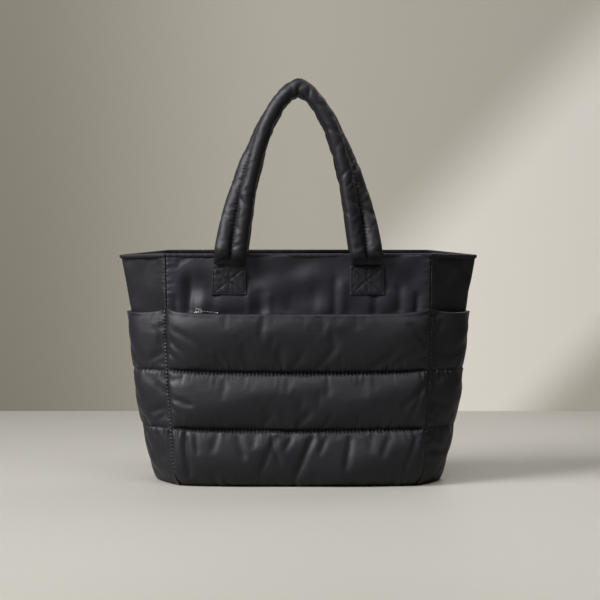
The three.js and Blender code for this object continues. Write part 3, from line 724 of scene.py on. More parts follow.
# from x, z to x, z, half width and depth, in mm; a negative depth is a ridge
POCKET_CREASES = [
    (-152, 196, -100, 168, 4, 2.0), (-158, 184, -118, 150, 4, 2.4), (-160, 170, -136, 146, 3, 1.8),
    (-96, 166, -90, 146, 3, 1.4), (-62, 164, -60, 144, 3, 1.0), (-24, 168, -20, 144, 3, 1.6),
    (8, 170, -8, 144, 4, 1.8), (44, 172, 20, 144, 4, 1.6), (118, 172, 84, 144, 4, 2.2),
    (146, 178, 108, 146, 3, 2.0), (156, 166, 132, 146, 3, 1.6), (128, 206, 152, 176, 4, 1.2),
    (-160, 112, -122, 100, 3, 2.4), (-158, 104, -136, 84, 3, 1.8), (-156, 130, -136, 136, 3, 1.2),
    (-30, 90, -44, 74, 3, 1.4), (14, 92, -2, 73, 4, 1.8), (40, 90, 30, 73, 3, 1.4),
    (156, 128, 120, 96, 4, 2.2), (148, 120, 132, 82, 3, 1.4), (-92, 140, -86, 120, 4, 1.2),
    (-136, 66, -128, 8, 4, 2.8), (-124, 70, -118, 40, 3, 1.8), (-98, 70, -100, 44, 4, 1.6),
    (-76, 70, -62, 34, 4, 2.4), (-54, 70, -52, 50, 3, 1.6), (-36, 70, -22, 32, 3, 2.6),
    (-24, 70, -44, 20, 4, 2.0), (-4, 71, -16, 46, 3, 2.0), (20, 70, -4, 10, 4, 3.2),
    (38, 71, 24, 40, 3, 2.0), (64, 68, 54, 20, 4, 2.6), (86, 70, 84, 44, 4, 1.4),
    (112, 70, 96, 36, 4, 1.6), (144, 66, 124, 20, 4, 1.8),
]


def front_room(u, share):
    widening = FRONT_SLACK + (FRONT_MOUTH_GAP - FRONT_SLACK) * np.clip(share, 0, 1) ** 3
    return JOIN_GAP + widening * (1 - np.abs(u) ** 6)


def round_edge(u, reach=0.04):
    """0 at the side seams and 1 away from them, on a quarter round."""
    return quarter_round((1 - np.abs(u)) / reach)


sheet = pocket_sheet("front_pocket_quilt", 120, 24, 0.35)
u, raw = sheet[1], sheet[3]
share = raw / QUILT_BANDS
height = quilt_height(raw, u, QUILT_SAG, LIP_RISE)
x = u * hexagon(height)[1]
gap = (1 - np.abs(u)) * hexagon(height)[1]
distance, which = seam_distance(raw)
clear_of_seam = np.clip(distance / GATHER_START, 0, 1)
puff = FRONT_PUFF * puff_share(raw, True) * np.sqrt(1 - np.abs(u) ** 10)
puff *= 1 + FRONT_UNEVEN * field(11, x, height, 0.13, 0.08)
puff -= creases(x, height, POCKET_CREASES) * np.clip(distance / (2 * GATHER_START), 0, 1)
puff += gathers(20, x, distance, which, GATHER_PITCH, GATHER_REACH, 0.0013) * round_edge(u)
puff += gathers(40, height, gap, np.sign(u) + 1, UPRIGHT_PITCH, 0.006, 0.0009) * clear_of_seam


def front_place(out, z, tucked):
    points = panel_point(FRONT, u, out, z)
    points[:, 2] += CORNER_LIFT * np.abs(u) ** 9 * (1 - share) ** 6 - FRONT_TUCK * tucked
    return points


pocket = make_pocket(sheet, x, height, distance, gap,
                     PRESSED_SEAM + np.maximum(0, puff) * round_edge(u, 0.05),
                     front_room(u, share), front_place, "front_pocket",
                     pinched=0, near_upright=0.5, spare=0.006)

# %% [markdown]
# A side pocket goes round one end of the bag, over the fold in the middle. It has the same three
# bands. The cloth stands away from the end in a lobe on each side of the fold, so the pocket opens a
# little at the top, and the padding is pinched over the fold and at the seams.

# %% Side pockets
SIDE_PUFF = 0.007
SIDE_UNEVEN = 0.05
SIDE_TUCK = 0.0014
SIDE_SLACK = 0.010
SIDE_SLACK_START = 0.6
FOLD_SLACK = 0.001
FOLD_PINCH = 0.03  # share of the end beside the fold that hardly moves

# as for the front pocket, with the distance from the fold in the place of x
SIDE_CREASES = [
    (6, 188, 46, 154, 5, 1.7), (50, 202, 62, 178, 3, 1.4), (64, 170, 46, 160, 3, 1.5),
    (34, 150, 60, 122, 4, 1.4), (66, 102, 42, 94, 3, 2.4), (66, 98, 52, 84, 3, 1.6),
    (12, 130, 34, 108, 4, 1.5), (22, 96, 40, 80, 4, 1.2), (60, 42, 32, 36, 4, 2.4),
    (22, 66, 34, 46, 3, 1.4), (46, 70, 48, 50, 3, 1.2), (12, 34, 38, 14, 4, 1.6),
]


def gusset_dent(v, height):
    return GUSSET_DENT * np.sin(math.pi * np.abs(v)) * ease(height / BODY_HEIGHT)


def gusset_length(v, height):
    fold, seam, depth, _ = hexagon(height)
    return v * np.hypot(fold - seam, depth)


def side_room(v, share, height):
    lobe = np.sin(math.pi * v) ** 2 * ease(share / SIDE_SLACK_START)
    room = JOIN_GAP + FOLD_SLACK * (1 - np.abs(v)) + SIDE_SLACK * lobe
    return np.maximum(JOIN_GAP, room - gusset_dent(v, height))


def side_pocket(name, side, seed, node_name):
    sheet = pocket_sheet(name, 84, 22, 0.3)
    v, raw = sheet[1] * side, sheet[3]
    share = raw / QUILT_BANDS
    height = quilt_height(raw, v, 0, LIP_RISE)
    along = gusset_length(v, height)
    gap = gusset_length(1 - np.abs(v), height)
    distance, which = seam_distance(raw)
    clear_of_seam = np.clip(distance / GATHER_START, 0, 1)
    lobes = 0.12 * (1 - np.abs(v)) + 0.88 * np.sin(math.pi * np.abs(v)) ** 1.2
    puff = SIDE_PUFF * puff_share(raw, True) * lobes
    puff *= 1 + SIDE_UNEVEN * field(seed, along, height, 0.07, 0.06)
    puff += gathers(seed + 1, along, distance, which, GATHER_PITCH, GATHER_REACH, 0.0012) \
        * round_edge(v, 0.1)
    puff += gathers(seed + 9, height, gap, np.sign(v) + 1, UPRIGHT_PITCH, 0.007, 0.0009) \
        * clear_of_seam
    puff -= creases(np.abs(along), height + 0.004 * np.sign(v * side), SIDE_CREASES) \
        * np.clip(distance / 0.010, 0, 1) * ease((np.abs(v) - 0.05) / 0.3)
    return make_pocket(sheet, along * side, height, distance, gap,
                       PRESSED_SEAM + np.maximum(0, puff) * round_edge(v, 0.07),
                       side_room(v, share, height),
                       lambda out, z, tucked: gusset_point(side, v, out, z - SIDE_TUCK * tucked),
                       node_name, pinched=np.where(np.abs(v) < FOLD_PINCH, 0.9, 0),
                       near_upright=0.4, spare=0.008)


left_pocket = side_pocket("left_side_pocket_quilt", LEFT, 60, "left_side_pocket")
right_pocket = side_pocket("right_side_pocket_quilt", RIGHT, 80, "right_side_pocket")

# %% [markdown]
# The walls are two layers of cloth with thin wadding, so they are smooth where nothing quilts them.
# Only the strip above the pockets shows from outside, and the rest from inside. The strip gets fine
# rows and the hidden part coarse ones. A shallow dent and some upright folds break up its shine.
# The back is quilted like the pockets, up to their height.

# %% Walls
WALL_FOOT = BASE_THICKNESS + JOIN_GAP
RIM_COVER = 0.0015  # the binding covers the wall's edge by its own height less this
BACK_PUFF = 0.008
FINE_FROM = 0.185
LOOSE_FROM = 0.19  # below this the wall is hidden and lies flat
HELD_BELOW = 0.2

# from x, z to x, z, half width and depth, in mm; a negative depth is a ridge
PANEL_CREASES = [
    (-137, 262, -136, 208, 6, 4.2), (-119, 254, -118, 216, 6, -1.4), (-104, 240, -106, 216, 6, 1.0),
    (-62, 256, -61, 206, 3, -1.4), (-48, 244, -47, 206, 6, 2.4), (-36, 240, -36, 206, 3, -1.2),
    (-8, 240, -12, 214, 8, 1.0), (22, 256, 18, 206, 7, 1.2), (46, 262, 44, 206, 4, 2.0),
    (56, 256, 55, 210, 4, -1.2), (95, 240, 96, 208, 5, 2.2), (110, 244, 112, 212, 6, -0.9),
    (127, 252, 126, 212, 5, 2.4), (149, 240, 147, 210, 4, 2.4), (-154, 236, -153, 206, 4, 1.4),
]


def wall_heights(row, coarse, fine, top):
    low = WALL_FOOT + (FINE_FROM - WALL_FOOT) * np.minimum(row / coarse, 1)
    return low + (top - FINE_FROM) * np.clip((row - coarse) / fine, 0, 1)


def wrap_edge(gap, reach=0.002, depth=0.0005):
    """How far a wall's edge turns in at an upright seam, so that the seam lies in a groove."""
    return depth * (1 - quarter_round(gap / reach))


def make_wall(piece, edges, across, height, gap, outer, inner, node_name, near_quilting=0,
              spare=0.004, cap=0.0007, cloth=shell_cloth):
    """Lays a wall's cloth on its place, marks its seams, fills it with air and lines it."""
    set_points(piece, outer)
    real_uv(piece, across, height)
    mark(piece, near_quilting=near_quilting + 0 * gap, stitched_up=0.25 * in_seam(gap),
         near_upright=0.7 * np.exp(-gap / NEAR_UPRIGHT))
    blow_up(piece, edges * 1.0, spare=spare, cap=cap, pressure=2.0)
    line_with(piece, inner)
    finish_cloth(piece, cloth, node_name)
    return piece


def outer_edges(u, row):
    return (row == row.max()) | (np.abs(u) > 1 - TOUCHING)


piece, u, row = cut_cloth("front_wall_cloth", 110, 62)
u = crowd(u, 0.3)
height = wall_heights(row, 18, 44, rim_height(0, FRONT) - RIM_COVER)
x = u * hexagon(height)[1]
gap = (1 - np.abs(u)) * hexagon(height)[1]
low_puff = 0.0009 * field(100, x, height, 0.06, 0.05) * ease(gap / 0.03)
out = low_puff - creases(x, height, PANEL_CREASES) - wrap_edge(gap)
out += gathers(101, height, gap, np.sign(u) + 1, UPRIGHT_PITCH, 0.006, 0.0007)
out *= ease((height - LOOSE_FROM) / 0.03) * 0.999 + 0.001
# The front wall wears the copy of the cloth that is painted lighter, as painted light.
make_wall(piece, outer_edges(u, row) | (height < HELD_BELOW), x, height, gap,
          panel_point(FRONT, u, out, height), panel_point(FRONT, u, -WALL_THICKNESS, height),
          "front_panel", cloth=painted_lighter_cloth)

# %% Back wall
BACK_ROWS, PLAIN_ROWS = 22, 26  # in a quilted band, and above the bands
piece, u, row = cut_cloth("back_wall_quilt", 110, QUILT_BANDS * BACK_ROWS + PLAIN_ROWS)
u = crowd(u, 0.3)
raw = quilt_rows(np.minimum(row, QUILT_BANDS * BACK_ROWS), BACK_ROWS)
plain = np.clip((row - QUILT_BANDS * BACK_ROWS) / PLAIN_ROWS, 0, 1)
height = quilt_height(raw, u, 0, 0, WALL_FOOT)
height += plain * (rim_height(0, BACK) - RIM_COVER - POCKET_HEIGHT)
x = u * hexagon(height)[1]
gap = (1 - np.abs(u)) * hexagon(height)[1]
distance, which = seam_distance(raw, True)
distance = np.where(plain > 0, plain * 0.07, distance)
puff = BACK_PUFF * puff_share(raw, False) * np.sqrt(1 - np.abs(u) ** 10)
puff *= 1 + 0.12 * field(110, x, height, 0.12, 0.08)
puff += gathers(111, x, distance, which, GATHER_PITCH, GATHER_REACH, 0.0013) * round_edge(u)
puff += gathers(130, height, gap, np.sign(u) + 1, 0.008, 0.006, 0.0012)
soft = 0.001 * field(131, x, height, 0.05, 0.06) * ease(plain * 4)
puff = np.where(plain > 0, puff + soft, puff)
out = puff * round_edge(u, 0.05) - wrap_edge(gap)
back_wall = make_wall(piece, outer_edges(u, row) | (row == 0) | (distance < TOUCHING), -x, height,
                      gap, panel_point(BACK, -u, out, height),
                      panel_point(BACK, -u, -WALL_THICKNESS, height), "back_panel",
                      near_quilting=np.exp(-distance / NEAR_QUILTING),
                      spare=0.006, cap=0.0025)


# %% Ends
def end_wall(name, side, seed, node_name):
    piece, u, row = cut_cloth(name, 72, 60)
    v = crowd(u, 0.2) * side
    height = wall_heights(row, 16, 44, rim_height(fold_share(v), v) - RIM_COVER)
    along = gusset_length(v, height)
    gap = gusset_length(1 - np.abs(v), height)
    dent = gusset_dent(v, height)
    soft = 0.0006 * field(seed, along, height, 0.05, 0.05) * ease(np.abs(v) / 0.4)
    soft += gathers(seed + 1, height, gap, np.sign(v) + 1, 0.009, 0.006, 0.0004)
    soft *= ease((height - LOOSE_FROM) / 0.03) * ease(gap / 0.01)
    make_wall(piece, outer_edges(v, row) | (height < HELD_BELOW), along * side, height, gap,
              gusset_point(side, v, soft - dent - wrap_edge(gap), height),
              gusset_point(side, v, -WALL_THICKNESS - dent, height), node_name)


end_wall("left_end_cloth", LEFT, 140, "left_gusset")
end_wall("right_end_cloth", RIGHT, 150, "right_gusset")

# %% [markdown]
# The binding is a narrow tape folded over the top edge of the walls, all the way round the mouth. It
# is one strip of cloth whose long edges meet underneath, so a grid is wrapped round its section and
# round the bag, and both pairs of edges are merged.

# %% Rim binding
BINDING_HEIGHT = 0.005
BINDING_PROUD = 0.0007
BINDING_CLOTH = 0.0002
BINDING_SEAM = 0.0012  # how far below the tape's middle its stitches lie
RIM_STATIONS = 400


def edit_all(piece, *steps):
    """Runs edit-mode operators, each with its settings, on all of a piece."""
    take(piece)
    bpy.ops.object.mode_set(mode="EDIT")
    bpy.ops.mesh.select_all(action="SELECT")
    for operator, settings in steps:
        operator(**settings)
    bpy.ops.object.mode_set(mode="OBJECT")


def merge_edges(piece):
    """Joins the points that lie on each other, closes the ends and turns the faces outwards."""
    edit_all(piece, (bpy.ops.mesh.remove_doubles, {"threshold": 1e-6}),
             (bpy.ops.mesh.fill_holes, {"sides": 0}),
             (bpy.ops.mesh.normals_make_consistent, {"inside": False}))


def rim_stations():
    """Stations round the rim: a point's place from out and height, and the height of the rim."""
    stations, per = [], RIM_STATIONS // 4
    for place, side, way in ((panel_point, FRONT, 1), (gusset_point, RIGHT, 1),
                             (panel_point, BACK, -1), (gusset_point, LEFT, -1)):
        for k in range(per):
            s = way * (k / per * 2 - 1)
            top = rim_height(0, side) if place is panel_point else rim_height(fold_share(s), s)
            stations.append((partial(place, side, s), float(top)))
    return stations + stations[:1]


def signed_power(values, power):
    return np.sign(values) * np.abs(values) ** power


binding, around, row = cut_cloth("rim_binding_tape", 12, RIM_STATIONS)
turn = (around + 1) * math.pi
half_wide = WALL_THICKNESS / 2 + BINDING_PROUD + BINDING_CLOTH
section_out = -WALL_THICKNESS / 2 + half_wide * signed_power(np.cos(turn), 0.3)
section_z = BINDING_HEIGHT / 2 * signed_power(np.sin(turn), 0.45)
points = np.empty((len(turn), 3))
stations = rim_stations()
for k, (place, top) in enumerate(stations):
    mine = row == k
    ripple = 0.0003 * math.sin(k * 2.1) + 0.0002 * math.sin(k * 0.83)
    points[mine] = place(section_out[mine] + ripple, top - BINDING_HEIGHT / 2 + section_z[mine])
set_points(binding, points)
real_uv(binding, turn * 0.003, row * 0.0026)
mark(binding, stitched_up=0.9 * np.exp(-((section_z + BINDING_SEAM) / 0.0012) ** 2))
merge_edges(binding)
finish_cloth(binding, tape_cloth, "rim_binding")
print("binding:", len(binding.data.polygons), "faces")

# %% [markdown]
# A handle is a strap of two padded channels with a seam between them. It leaves its tabs flat against
# the wall and turns a quarter turn on the way up, so that it lies flat over a shoulder. Its section
# is a figure of eight, wrapped round the same arch as in the solid. The two seams are held while air
# fills the channels, and small folds stand across the inside of the bend.

# %% Handles
HANDLE_HALF_SPAN = 0.086
HANDLE_RISE = 0.2215
HANDLE_PEAK = 0.11  # share of the rise that comes to a point
HANDLE_FULLNESS = 1.2
HANDLE_WIDTH = 0.041
HANDLE_THICKNESS = 0.020
HANDLE_WAIST = 0.004
HANDLE_END_THICKNESS = 0.003
HANDLE_END_LENGTH = 0.020
HANDLE_TURN_START = 0.09
HANDLE_TURN_HASTE = 1.7
HANDLE_TOP_GAP = 0.001
TAB_WIDTH, TAB_HEIGHT, TAB_DROP = 0.044, 0.037, 0.015
TAB_TOP = BODY_HEIGHT - TAB_DROP
CHANNEL_SPACING = HANDLE_WIDTH - HANDLE_THICKNESS


def panel_face(side, x, height):
    """How far a wall's outer face stands from the middle of the bag."""
    fold, seam, depth, _ = hexagon(height)
    u = x / seam
    relief = 0 * x
    if side == BACK:
        raw = QUILT_BANDS * (height - WALL_FOOT) / (POCKET_HEIGHT - WALL_FOOT)
        relief = np.where(raw < QUILT_BANDS, BACK_PUFF * puff_share(raw, False)
                          * np.sqrt(np.clip(1 - np.abs(u) ** 10, 0, 1)), 0)
    return depth + PANEL_BOW * (1 - u * u) + relief


def handle_path(side, angle):
    """Middle line, thickness and turn of a handle at some angles round its arch."""
    arch = np.clip(np.sin(angle), 0, 1) ** (2 / HANDLE_FULLNESS)
    peak = 1 - np.sqrt(np.cos(angle) ** 2 + 0.0016)
    rise = HANDLE_RISE * (arch + HANDLE_PEAK * (peak - arch) * arch)
    share = rise / HANDLE_RISE
    x = -HANDLE_HALF_SPAN * np.cos(angle)
    height = TAB_TOP + JOIN_GAP + rise
    filled = ease((rise + HANDLE_END_LENGTH / 8) / HANDLE_END_LENGTH)
    thickness = HANDLE_END_THICKNESS + (HANDLE_THICKNESS - HANDLE_END_THICKNESS) * filled
    above = np.clip((share - HANDLE_TURN_START) / (1 - HANDLE_TURN_START), 0, 1)
    turn = math.pi / 2 * (1 - (1 - above) ** HANDLE_TURN_HASTE)
    wall_face = panel_face(side, x, np.minimum(height, BODY_HEIGHT)) + BINDING_PROUD + JOIN_GAP
    top_channel = HANDLE_TOP_GAP / 2 + HANDLE_THICKNESS / 2 + CHANNEL_SPACING
    inner = wall_face + thickness / 2
    inner = inner + (top_channel - inner) * above
    depth = inner - CHANNEL_SPACING / 2 * np.sin(turn)
    return np.stack([x, side * depth, height], 1), thickness, turn


HANDLE_LENGTH = 0.53
HANDLE_ROWS = 210
ARCH_SAMPLES = 4001
HALF_TURN = 12  # grid columns over one side of one channel
THICK_SHARE, WIDE_SHARE = 0.97, 0.975  # of the solid's section, as the cloth swells in the air
# where along the strap, how deep and how long, in metres
HANDLE_KINKS = [
    (0.24, 0.0004, 0.004), (0.33, 0.0006, 0.004), (0.385, 0.0008, 0.005), (0.43, 0.0014, 0.005),
    (0.465, 0.0014, 0.004), (0.50, 0.0012, 0.005), (0.535, 0.0015, 0.004), (0.575, 0.0010, 0.005),
    (0.635, 0.0009, 0.005), (0.70, 0.0006, 0.004), (0.78, 0.0004, 0.004),
]
# where, how deep, how long and how slanting are the folds pressed into the flat of the strap
HANDLE_DENTS = [
    (0.11, 0.0006, 0.004, 0.7), (0.19, 0.0009, 0.0025, 0.9), (0.36, 0.0005, 0.004, 0.6),
    (0.445, 0.0010, 0.003, -0.3), (0.482, 0.0014, 0.0025, 0.5), (0.502, 0.0022, 0.002, 0.7),
    (0.530, 0.0024, 0.002, -0.7), (0.57, 0.0007, 0.003, 0.8), (0.64, 0.0011, 0.0025, 0.9),
    (0.685, 0.0006, 0.004, -0.8), (0.76, 0.0011, 0.0025, -0.8), (0.85, 0.0008, 0.003, 0.8),
]


def strap_dents(share, lean):
    """Depth of the folds in the strap, at shares of its length and metres to one side."""
    return sum(deep * np.exp(-((HANDLE_LENGTH * (share - at) - slant * lean) / long) ** 2)
               for at, deep, long, slant in HANDLE_DENTS)


def lengths_along(path):
    return np.concatenate([[0], np.cumsum(np.linalg.norm(np.diff(path, axis=0), axis=1))])


def handle(name, side, seed, node_name):
    piece, u, row = cut_cloth(name, 4 * HALF_TURN, HANDLE_ROWS)
    fine = np.linspace(0, math.pi, ARCH_SAMPLES)
    travelled = lengths_along(handle_path(side, fine)[0])
    total = travelled[-1]
    angles = np.interp(np.linspace(0, total, HANDLE_ROWS + 1), travelled, fine)
    centre, thickness, turn = handle_path(side, angles)
    flat = np.gradient(centre, axis=0)
    flat[:, 1] = 0
    flat[0], flat[-1] = (0, 0, 1), (0, 0, -1)
    flat /= np.linalg.norm(flat, axis=1)[:, None]
    outward = np.stack([-flat[:, 2], 0 * turn, flat[:, 0]], 1)
    wide = outward * np.cos(turn)[:, None] + np.array([[0, -side, 0]]) * np.sin(turn)[:, None]
    thick = np.cross(flat, wide)
    # The section goes over the top from one edge to the other, and back underneath.
    column = np.rint((u + 1) * 2 * HALF_TURN).astype(int)
    leg = np.minimum(column // HALF_TURN, 3)
    step = (column - leg * HALF_TURN) / HALF_TURN * math.pi
    across = np.choose(leg, [a + b * np.cos(step)
                             for a, b in ((0.5, 0.5), (-0.5, 0.5), (-0.5, -0.5), (0.5, -0.5))])
    sign = np.where(leg < 2, 1.0, -1.0)
    bulge = np.sin(step)
    share = row / HANDLE_ROWS
    length = share * total
    waist = np.minimum(HANDLE_WAIST, thickness[row] * 0.8) / 2
    half_thick = np.sqrt((bulge * thickness[row] / 2 * THICK_SHARE) ** 2
                         + (waist * np.exp(-(across / 0.14) ** 2)) ** 2)
    lean = across * HANDLE_WIDTH / 2 * sign
    half_thick *= 1 + 0.03 * field(seed, length, across * 0.02, 0.05, 0.05)
    half_thick -= bulge * strap_dents(share, lean)
    fold = field(seed + 1, length + lean * 0.5, across * 0.02, 0.012, 0.02, 20)
    half_thick += 0.0002 * fold * bulge
    width = across * HANDLE_WIDTH / 2 * WIDE_SHARE
    width -= across ** 3 * strap_dents(share, sign * bulge * HANDLE_THICKNESS / 2)
    offset = wide[row] * width[:, None] + thick[row] * (sign * half_thick)[:, None]
    # The inside of the bend is pressed together into kinks; the outside stays smooth.
    away = np.sum(offset * outward[row], axis=1)
    kinks = sum(deep * np.exp(-((length - total * at) / long) ** 2)
                for at, deep, long in HANDLE_KINKS)
    offset += outward[row] * (kinks * np.clip(-away / 0.008, 0, 1))[:, None]
    # At the top of the arch the outside is drawn to a soft point and the padding is thickest.
    top = np.exp(-np.abs(share - 0.5) / 0.02)
    thicker = 0.0022 * top * np.sign(away) * np.clip(np.abs(away) / 0.006, 0, 1)
    offset += outward[row] * thicker[:, None]
    set_points(piece, centre[row] + offset)
    real_uv(piece, (u + 1) * 0.045, length)
    fixed = (np.abs(across) < TOUCHING) | (row == 0) | (row == HANDLE_ROWS)
    mark(piece, near_quilting=0 * u, near_upright=np.exp(-np.abs(across) * 0.02 / 0.006),
         stitched_up=0.7 * in_seam(across * HANDLE_WIDTH / 2), is_held=fixed * 1.0)
    merge_edges(piece)
    held = np.empty(len(piece.data.vertices), np.float32)
    piece.data.attributes["is_held"].data.foreach_get("value", held)
    piece.data.attributes.remove(piece.data.attributes["is_held"])
    blow_up(piece, held.astype(float), spare=0.008, cap=0.0010, bending=1.0)
    finish_cloth(piece, shell_cloth, node_name)


handle("front_handle_strap", FRONT, 170, "front_handle")
handle("back_handle_strap", BACK, 180, "back_handle")

# %% [markdown]
# Each handle ends in a square of folded cloth, sewn flat on the wall with a box, a cross and an
# upright line. The stitching presses grooves, and the cloth stands up between them and at its rim.

# %% Tabs
STITCH_INSET = 0.0028
TAB_COLUMNS, TAB_ROWS = 44, 37
TAB_EDGE_ROUND = 0.0015
TAB_EDGE, TAB_PUFF = 0.0006, 0.0022  # how high its rim and its middle stand
TAB_GROOVE, TAB_GROOVE_WIDTH = 0.0006, 0.0011


def tab_lines():
    """The sewn lines of a tab, as pairs of points in metres from its middle."""
    a, b = TAB_WIDTH / 2 - STITCH_INSET, TAB_HEIGHT / 2 - STITCH_INSET
    corners = [(-a, -b), (a, -b), (a, b), (-a, b)]
    lines = [(corners[k], corners[(k + 1) % 4]) for k in range(4)]
    lines += [(corners[0], corners[2]), (corners[1], corners[3]), ((0, -b), (0, b))]
    return [(np.array(p), np.array(q)) for p, q in lines]


def line_distance(x, z, p, q):
    run = q - p
    s = np.clip(((x - p[0]) * run[0] + (z - p[1]) * run[1]) / (run @ run), 0, 1)
    return np.hypot(x - p[0] - s * run[0], z - p[1] - s * run[1])


def tab_place(side, across, x, z, out):
    wx = across * HANDLE_HALF_SPAN + x
    height = TAB_TOP - TAB_HEIGHT / 2 + z
    return np.stack([wx, side * (panel_face(side, wx, height) + out), height], 1)


def handle_tab(name, side, across, seed, node_name):
    piece, u, row = cut_cloth(name, TAB_COLUMNS, TAB_ROWS)
    x = u * TAB_WIDTH / 2
    z = (row / TAB_ROWS - 0.5) * TAB_HEIGHT
    near = np.min([line_distance(x, z, p, q) for p, q in tab_lines()], axis=0)
    edge = np.minimum(TAB_WIDTH / 2 - np.abs(x), TAB_HEIGHT / 2 - np.abs(z))
    up = TAB_EDGE + TAB_PUFF * quarter_round(edge / TAB_EDGE_ROUND)
    up -= TAB_GROOVE * np.exp(-(near / TAB_GROOVE_WIDTH) ** 2)
    up += 0.00012 * field(seed, x, z, 0.010, 0.010)
    shift = 0.0004 * field(seed + 1, x, z, 0.05, 0.05)
    set_points(piece, tab_place(side, across, (x + shift) * -side, z, JOIN_GAP + up))
    real_uv(piece, x, z)
    mark(piece, near_quilting=0 * u, near_upright=0 * u)
    line_with(piece, tab_place(side, across, x * -side, z, JOIN_GAP + 0 * x))
    finish_cloth(piece, shell_cloth, node_name)
    return piece


tabs = {}
for word, side in (("front", FRONT), ("back", BACK)):
    for where, across in (("left", LEFT), ("right", RIGHT)):
        node_name = f"{word}_tab_{where}"
        tabs[side, across] = handle_tab(f"{node_name}_square", side, across,
                                        200 + 2 * side + across, node_name)
print("tabs:", len(tabs))

# %% [markdown]
# The base is a stiffened panel. Only its edge could ever show, so it is the solid's own outline,
# with its edges rounded over and the same cloth.

# %% Base, slider and pull
def rounded_copy(name, node_name, material, edge, body):
    """A copy of a solid: its points merged, its flat faces joined, its edges rounded."""
    piece = bpy.data.objects.new(name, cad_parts[node_name].data.copy())
    bpy.context.collection.objects.link(piece)
    edit_all(piece, (bpy.ops.mesh.remove_doubles, {"threshold": 1e-6}),
             (bpy.ops.mesh.dissolve_limited, {"angle_limit": math.radians(1)}))
    apply_modifier(piece, "edges", "BEVEL", width=edge, segments=2, limit_method="ANGLE",
                   angle_limit=math.radians(30))
    bpy.ops.object.shade_smooth_by_angle(angle=math.radians(40))
    dress(piece, material, body, node_name)
    return piece


rounded_copy("base_cloth", "base_panel", shell_cloth, 1.0 * MM, "bag")
slider = rounded_copy("slider_metal", "zip_slider", plated_zinc, 0.3 * MM, "bag")
rounded_copy("pull_metal", "zip_pull", plated_zinc, 0.25 * MM, "zip_pull")

# %% [markdown]
# The zip lies behind the pocket's lip: two strips of tape and, between them, a coil of nylon whose
# turns look like fine teeth. One turn is modelled and copied along the zip.

# %% Zip
ZIP_DROP = 0.005
ZIP_END_SHARE = 0.9
TAPE_THICKNESS = 0.0012
TAPE_COLUMNS, TAPE_ROWS = 140, 8
TAPE_ARCH = 0.0006
COIL_PITCH = 0.0015
COIL_TURN = (0.0048, 0.0011, 0.0016)
COIL_RISE = 0.0012
SLIDER_MIDDLE, SLIDER_REACH = 0.0055, 0.0065  # no turn shows this near the slider


def zip_place(u):
    height = quilt_height(QUILT_BANDS + 0 * u, u, QUILT_SAG, LIP_RISE) - ZIP_DROP
    room = front_room(u, height / POCKET_HEIGHT)
    return (panel_point(FRONT, u, JOIN_GAP + 0 * u, height),
            panel_point(FRONT, u, room - JOIN_GAP, height))


tape, u, row = cut_cloth("zip_tape_cloth", TAPE_COLUMNS, TAPE_ROWS)
at_panel, at_pocket = zip_place(u * ZIP_END_SHARE)
share = row / TAPE_ROWS
points = at_panel + (at_pocket - at_panel) * share[:, None]
points[:, 2] += TAPE_THICKNESS + TAPE_ARCH * np.cos((share - 0.5) * math.pi)
set_points(tape, points)
real_uv(tape, points[:, 0], share * 0.013)
line_with(tape, points - np.array([0, 0, TAPE_THICKNESS]))
finish_cloth(tape, tape_cloth, "pocket_zip", levels=0)


def small_part(segments, rings, size):
    """The points and faces of a small rounded part, made once, to copy many times."""
    made = new_shape("part", bpy.ops.mesh.primitive_uv_sphere_add, segments=segments,
                     ring_count=rings, radius=1)
    points = signed_power(points_of(made), np.array([0.6, 1, 1])) * np.array(size) / 2
    faces = [list(p.vertices) for p in made.data.polygons]
    bpy.data.objects.remove(made)
    return points, faces


def copies(name, part, centres, along, up, material, slot):
    """One mesh with a copy of the part at every centre; along and up are its own axes there."""
    points, faces = part
    along = along / np.linalg.norm(along, axis=1)[:, None]
    across = np.cross(up, along)
    across /= np.linalg.norm(across, axis=1)[:, None]
    axes = np.stack([along, across, np.cross(along, across)], 1)
    placed = centres[:, None, :] + np.einsum("pk,nkc->npc", points, axes)
    mesh = bpy.data.meshes.new(name)
    mesh.from_pydata(placed.reshape(-1, 3).tolist(), [],
                     [[i + n * len(points) for i in face]
                      for n in range(len(centres)) for face in faces])
    piece = bpy.data.objects.new(name, mesh)
    bpy.context.collection.objects.link(piece)
    take(piece)
    bpy.ops.object.shade_smooth()
    dress(piece, material, "bag", None)
    print(f"{name}: {len(centres)} copies, {len(mesh.polygons)} faces")


count = int(2 * ZIP_END_SHARE * RIM_SEAM_HALF_SPAN / COIL_PITCH)
at_panel, at_pocket = zip_place(np.linspace(-ZIP_END_SHARE + 0.01, ZIP_END_SHARE - 0.01, count))
centres = (at_panel + at_pocket) / 2
centres[:, 2] += TAPE_THICKNESS + COIL_RISE
clear = np.abs(centres[:, 0] - slider.bound_box[0][0] - SLIDER_MIDDLE) > SLIDER_REACH
across = np.cross(np.gradient(centres, axis=0), np.array([[0, 0, 1.0]]))
copies("zip_coil_turns", small_part(6, 6, COIL_TURN), centres[clear], across[clear],
       np.repeat([[0, 0, 1.0]], clear.sum(), 0), coil, "tape_nylon")

# %% [markdown]
# Thread shows along every seam as short stitches, each sunk in its own small dent. They are two and
# a half millimetres long and a little under four apart, and closer on the tabs. One is modelled and
# copied along lines that are laid on the finished cloth by casting rays at it.

# %% Stitches
STITCH_PITCH, TAB_STITCH_PITCH = 0.0038, 0.0026
STITCH_SIZE = (0.0025, 0.0010, 0.0007)
SEAM_POINTS = 90
SEAM_END = 0.985
RAY_START, RAY_LENGTH = 0.03, 0.06
FAR = 0.02  # a second point this far out gives a ray's direction
RIM_STITCH_DROP = 0.0034
stitch = small_part(6, 4, STITCH_SIZE)


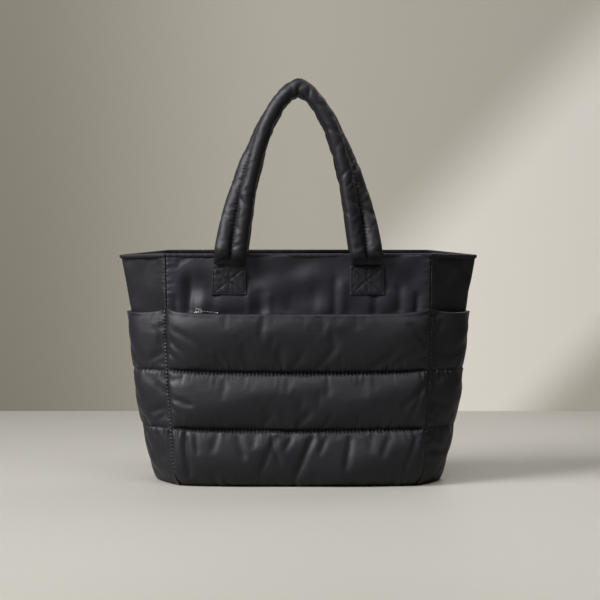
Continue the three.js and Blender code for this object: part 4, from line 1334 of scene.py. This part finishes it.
def stitches(target, near, far, pitch=STITCH_PITCH):
    """Lays stitches along a path, on the face of the target that a ray from outside meets."""
    tree = BVHTree.FromPolygons([tuple(p) for p in points_of(target)],
                                [tuple(f.vertices) for f in target.data.polygons])
    travelled = lengths_along(near)
    places = np.arange(pitch / 2, travelled[-1], pitch)
    at = [np.stack([np.interp(places, travelled, source[:, k]) for k in range(3)], 1)
          for source in (near, far - near)]
    centres, normals = [], []
    for point, direction in zip(*at):
        direction = Vector(direction).normalized()
        start = Vector(point) + direction * RAY_START
        hit, normal, _, _ = tree.ray_cast(start, -direction, RAY_LENGTH)
        if hit is not None:
            centres.append(hit)
            normals.append(normal)
    centres = np.array(centres)
    return centres, np.gradient(centres, axis=0), np.array(normals)


def sew(name, runs):
    parts = [np.concatenate(list(k)) for k in zip(*runs)]
    copies(name, stitch, *parts, thread, "shell_nylon")


def seam(target, number, place):
    """The stitches of one quilting seam, from its place as a function of u, raw and out."""
    u = np.linspace(-SEAM_END, SEAM_END, SEAM_POINTS)
    raw = number + np.zeros(SEAM_POINTS)
    return stitches(target, place(u, raw, 0.0), place(u, raw, FAR))


def on_front(u, raw, out):
    return panel_point(FRONT, u, front_room(u, raw / QUILT_BANDS) + out,
                       quilt_height(raw, u, QUILT_SAG, LIP_RISE))


def on_end(side, u, raw, out):
    return gusset_point(side, u, 0.006 + out, quilt_height(raw, u, 0, LIP_RISE))


def on_back(u, raw, out):
    return panel_point(BACK, u, out + 0 * u, quilt_height(raw, u, 0, 0, WALL_FOOT))


def tab_line(side, across, p, q):
    s = np.linspace(0.02, 0.98, 20)
    line = p[0] + s * (q[0] - p[0]), p[1] + s * (q[1] - p[1])
    return [tab_place(side, across, *line, out) for out in (0.0, FAR)]


def round_rim(out):
    return np.array([place(np.array([out]), np.array([top - RIM_STITCH_DROP]))[0]
                     for place, top in stations])


sew("front_pocket_stitches", [seam(pocket, k, on_front) for k in (1, 2)])
sew("side_pocket_stitches", [seam(target, k, partial(on_end, side)) for side, target in
                             ((LEFT, left_pocket), (RIGHT, right_pocket)) for k in (1, 2)])
sew("back_wall_stitches", [seam(back_wall, k, on_back) for k in (1, 2, 3)])
sew("tab_stitches", [stitches(target, *tab_line(*key, p, q), pitch=TAB_STITCH_PITCH)
                     for key, target in tabs.items() for p, q in tab_lines()])
sew("rim_stitches", [stitches(binding, round_rim(0.0), round_rim(FAR))])
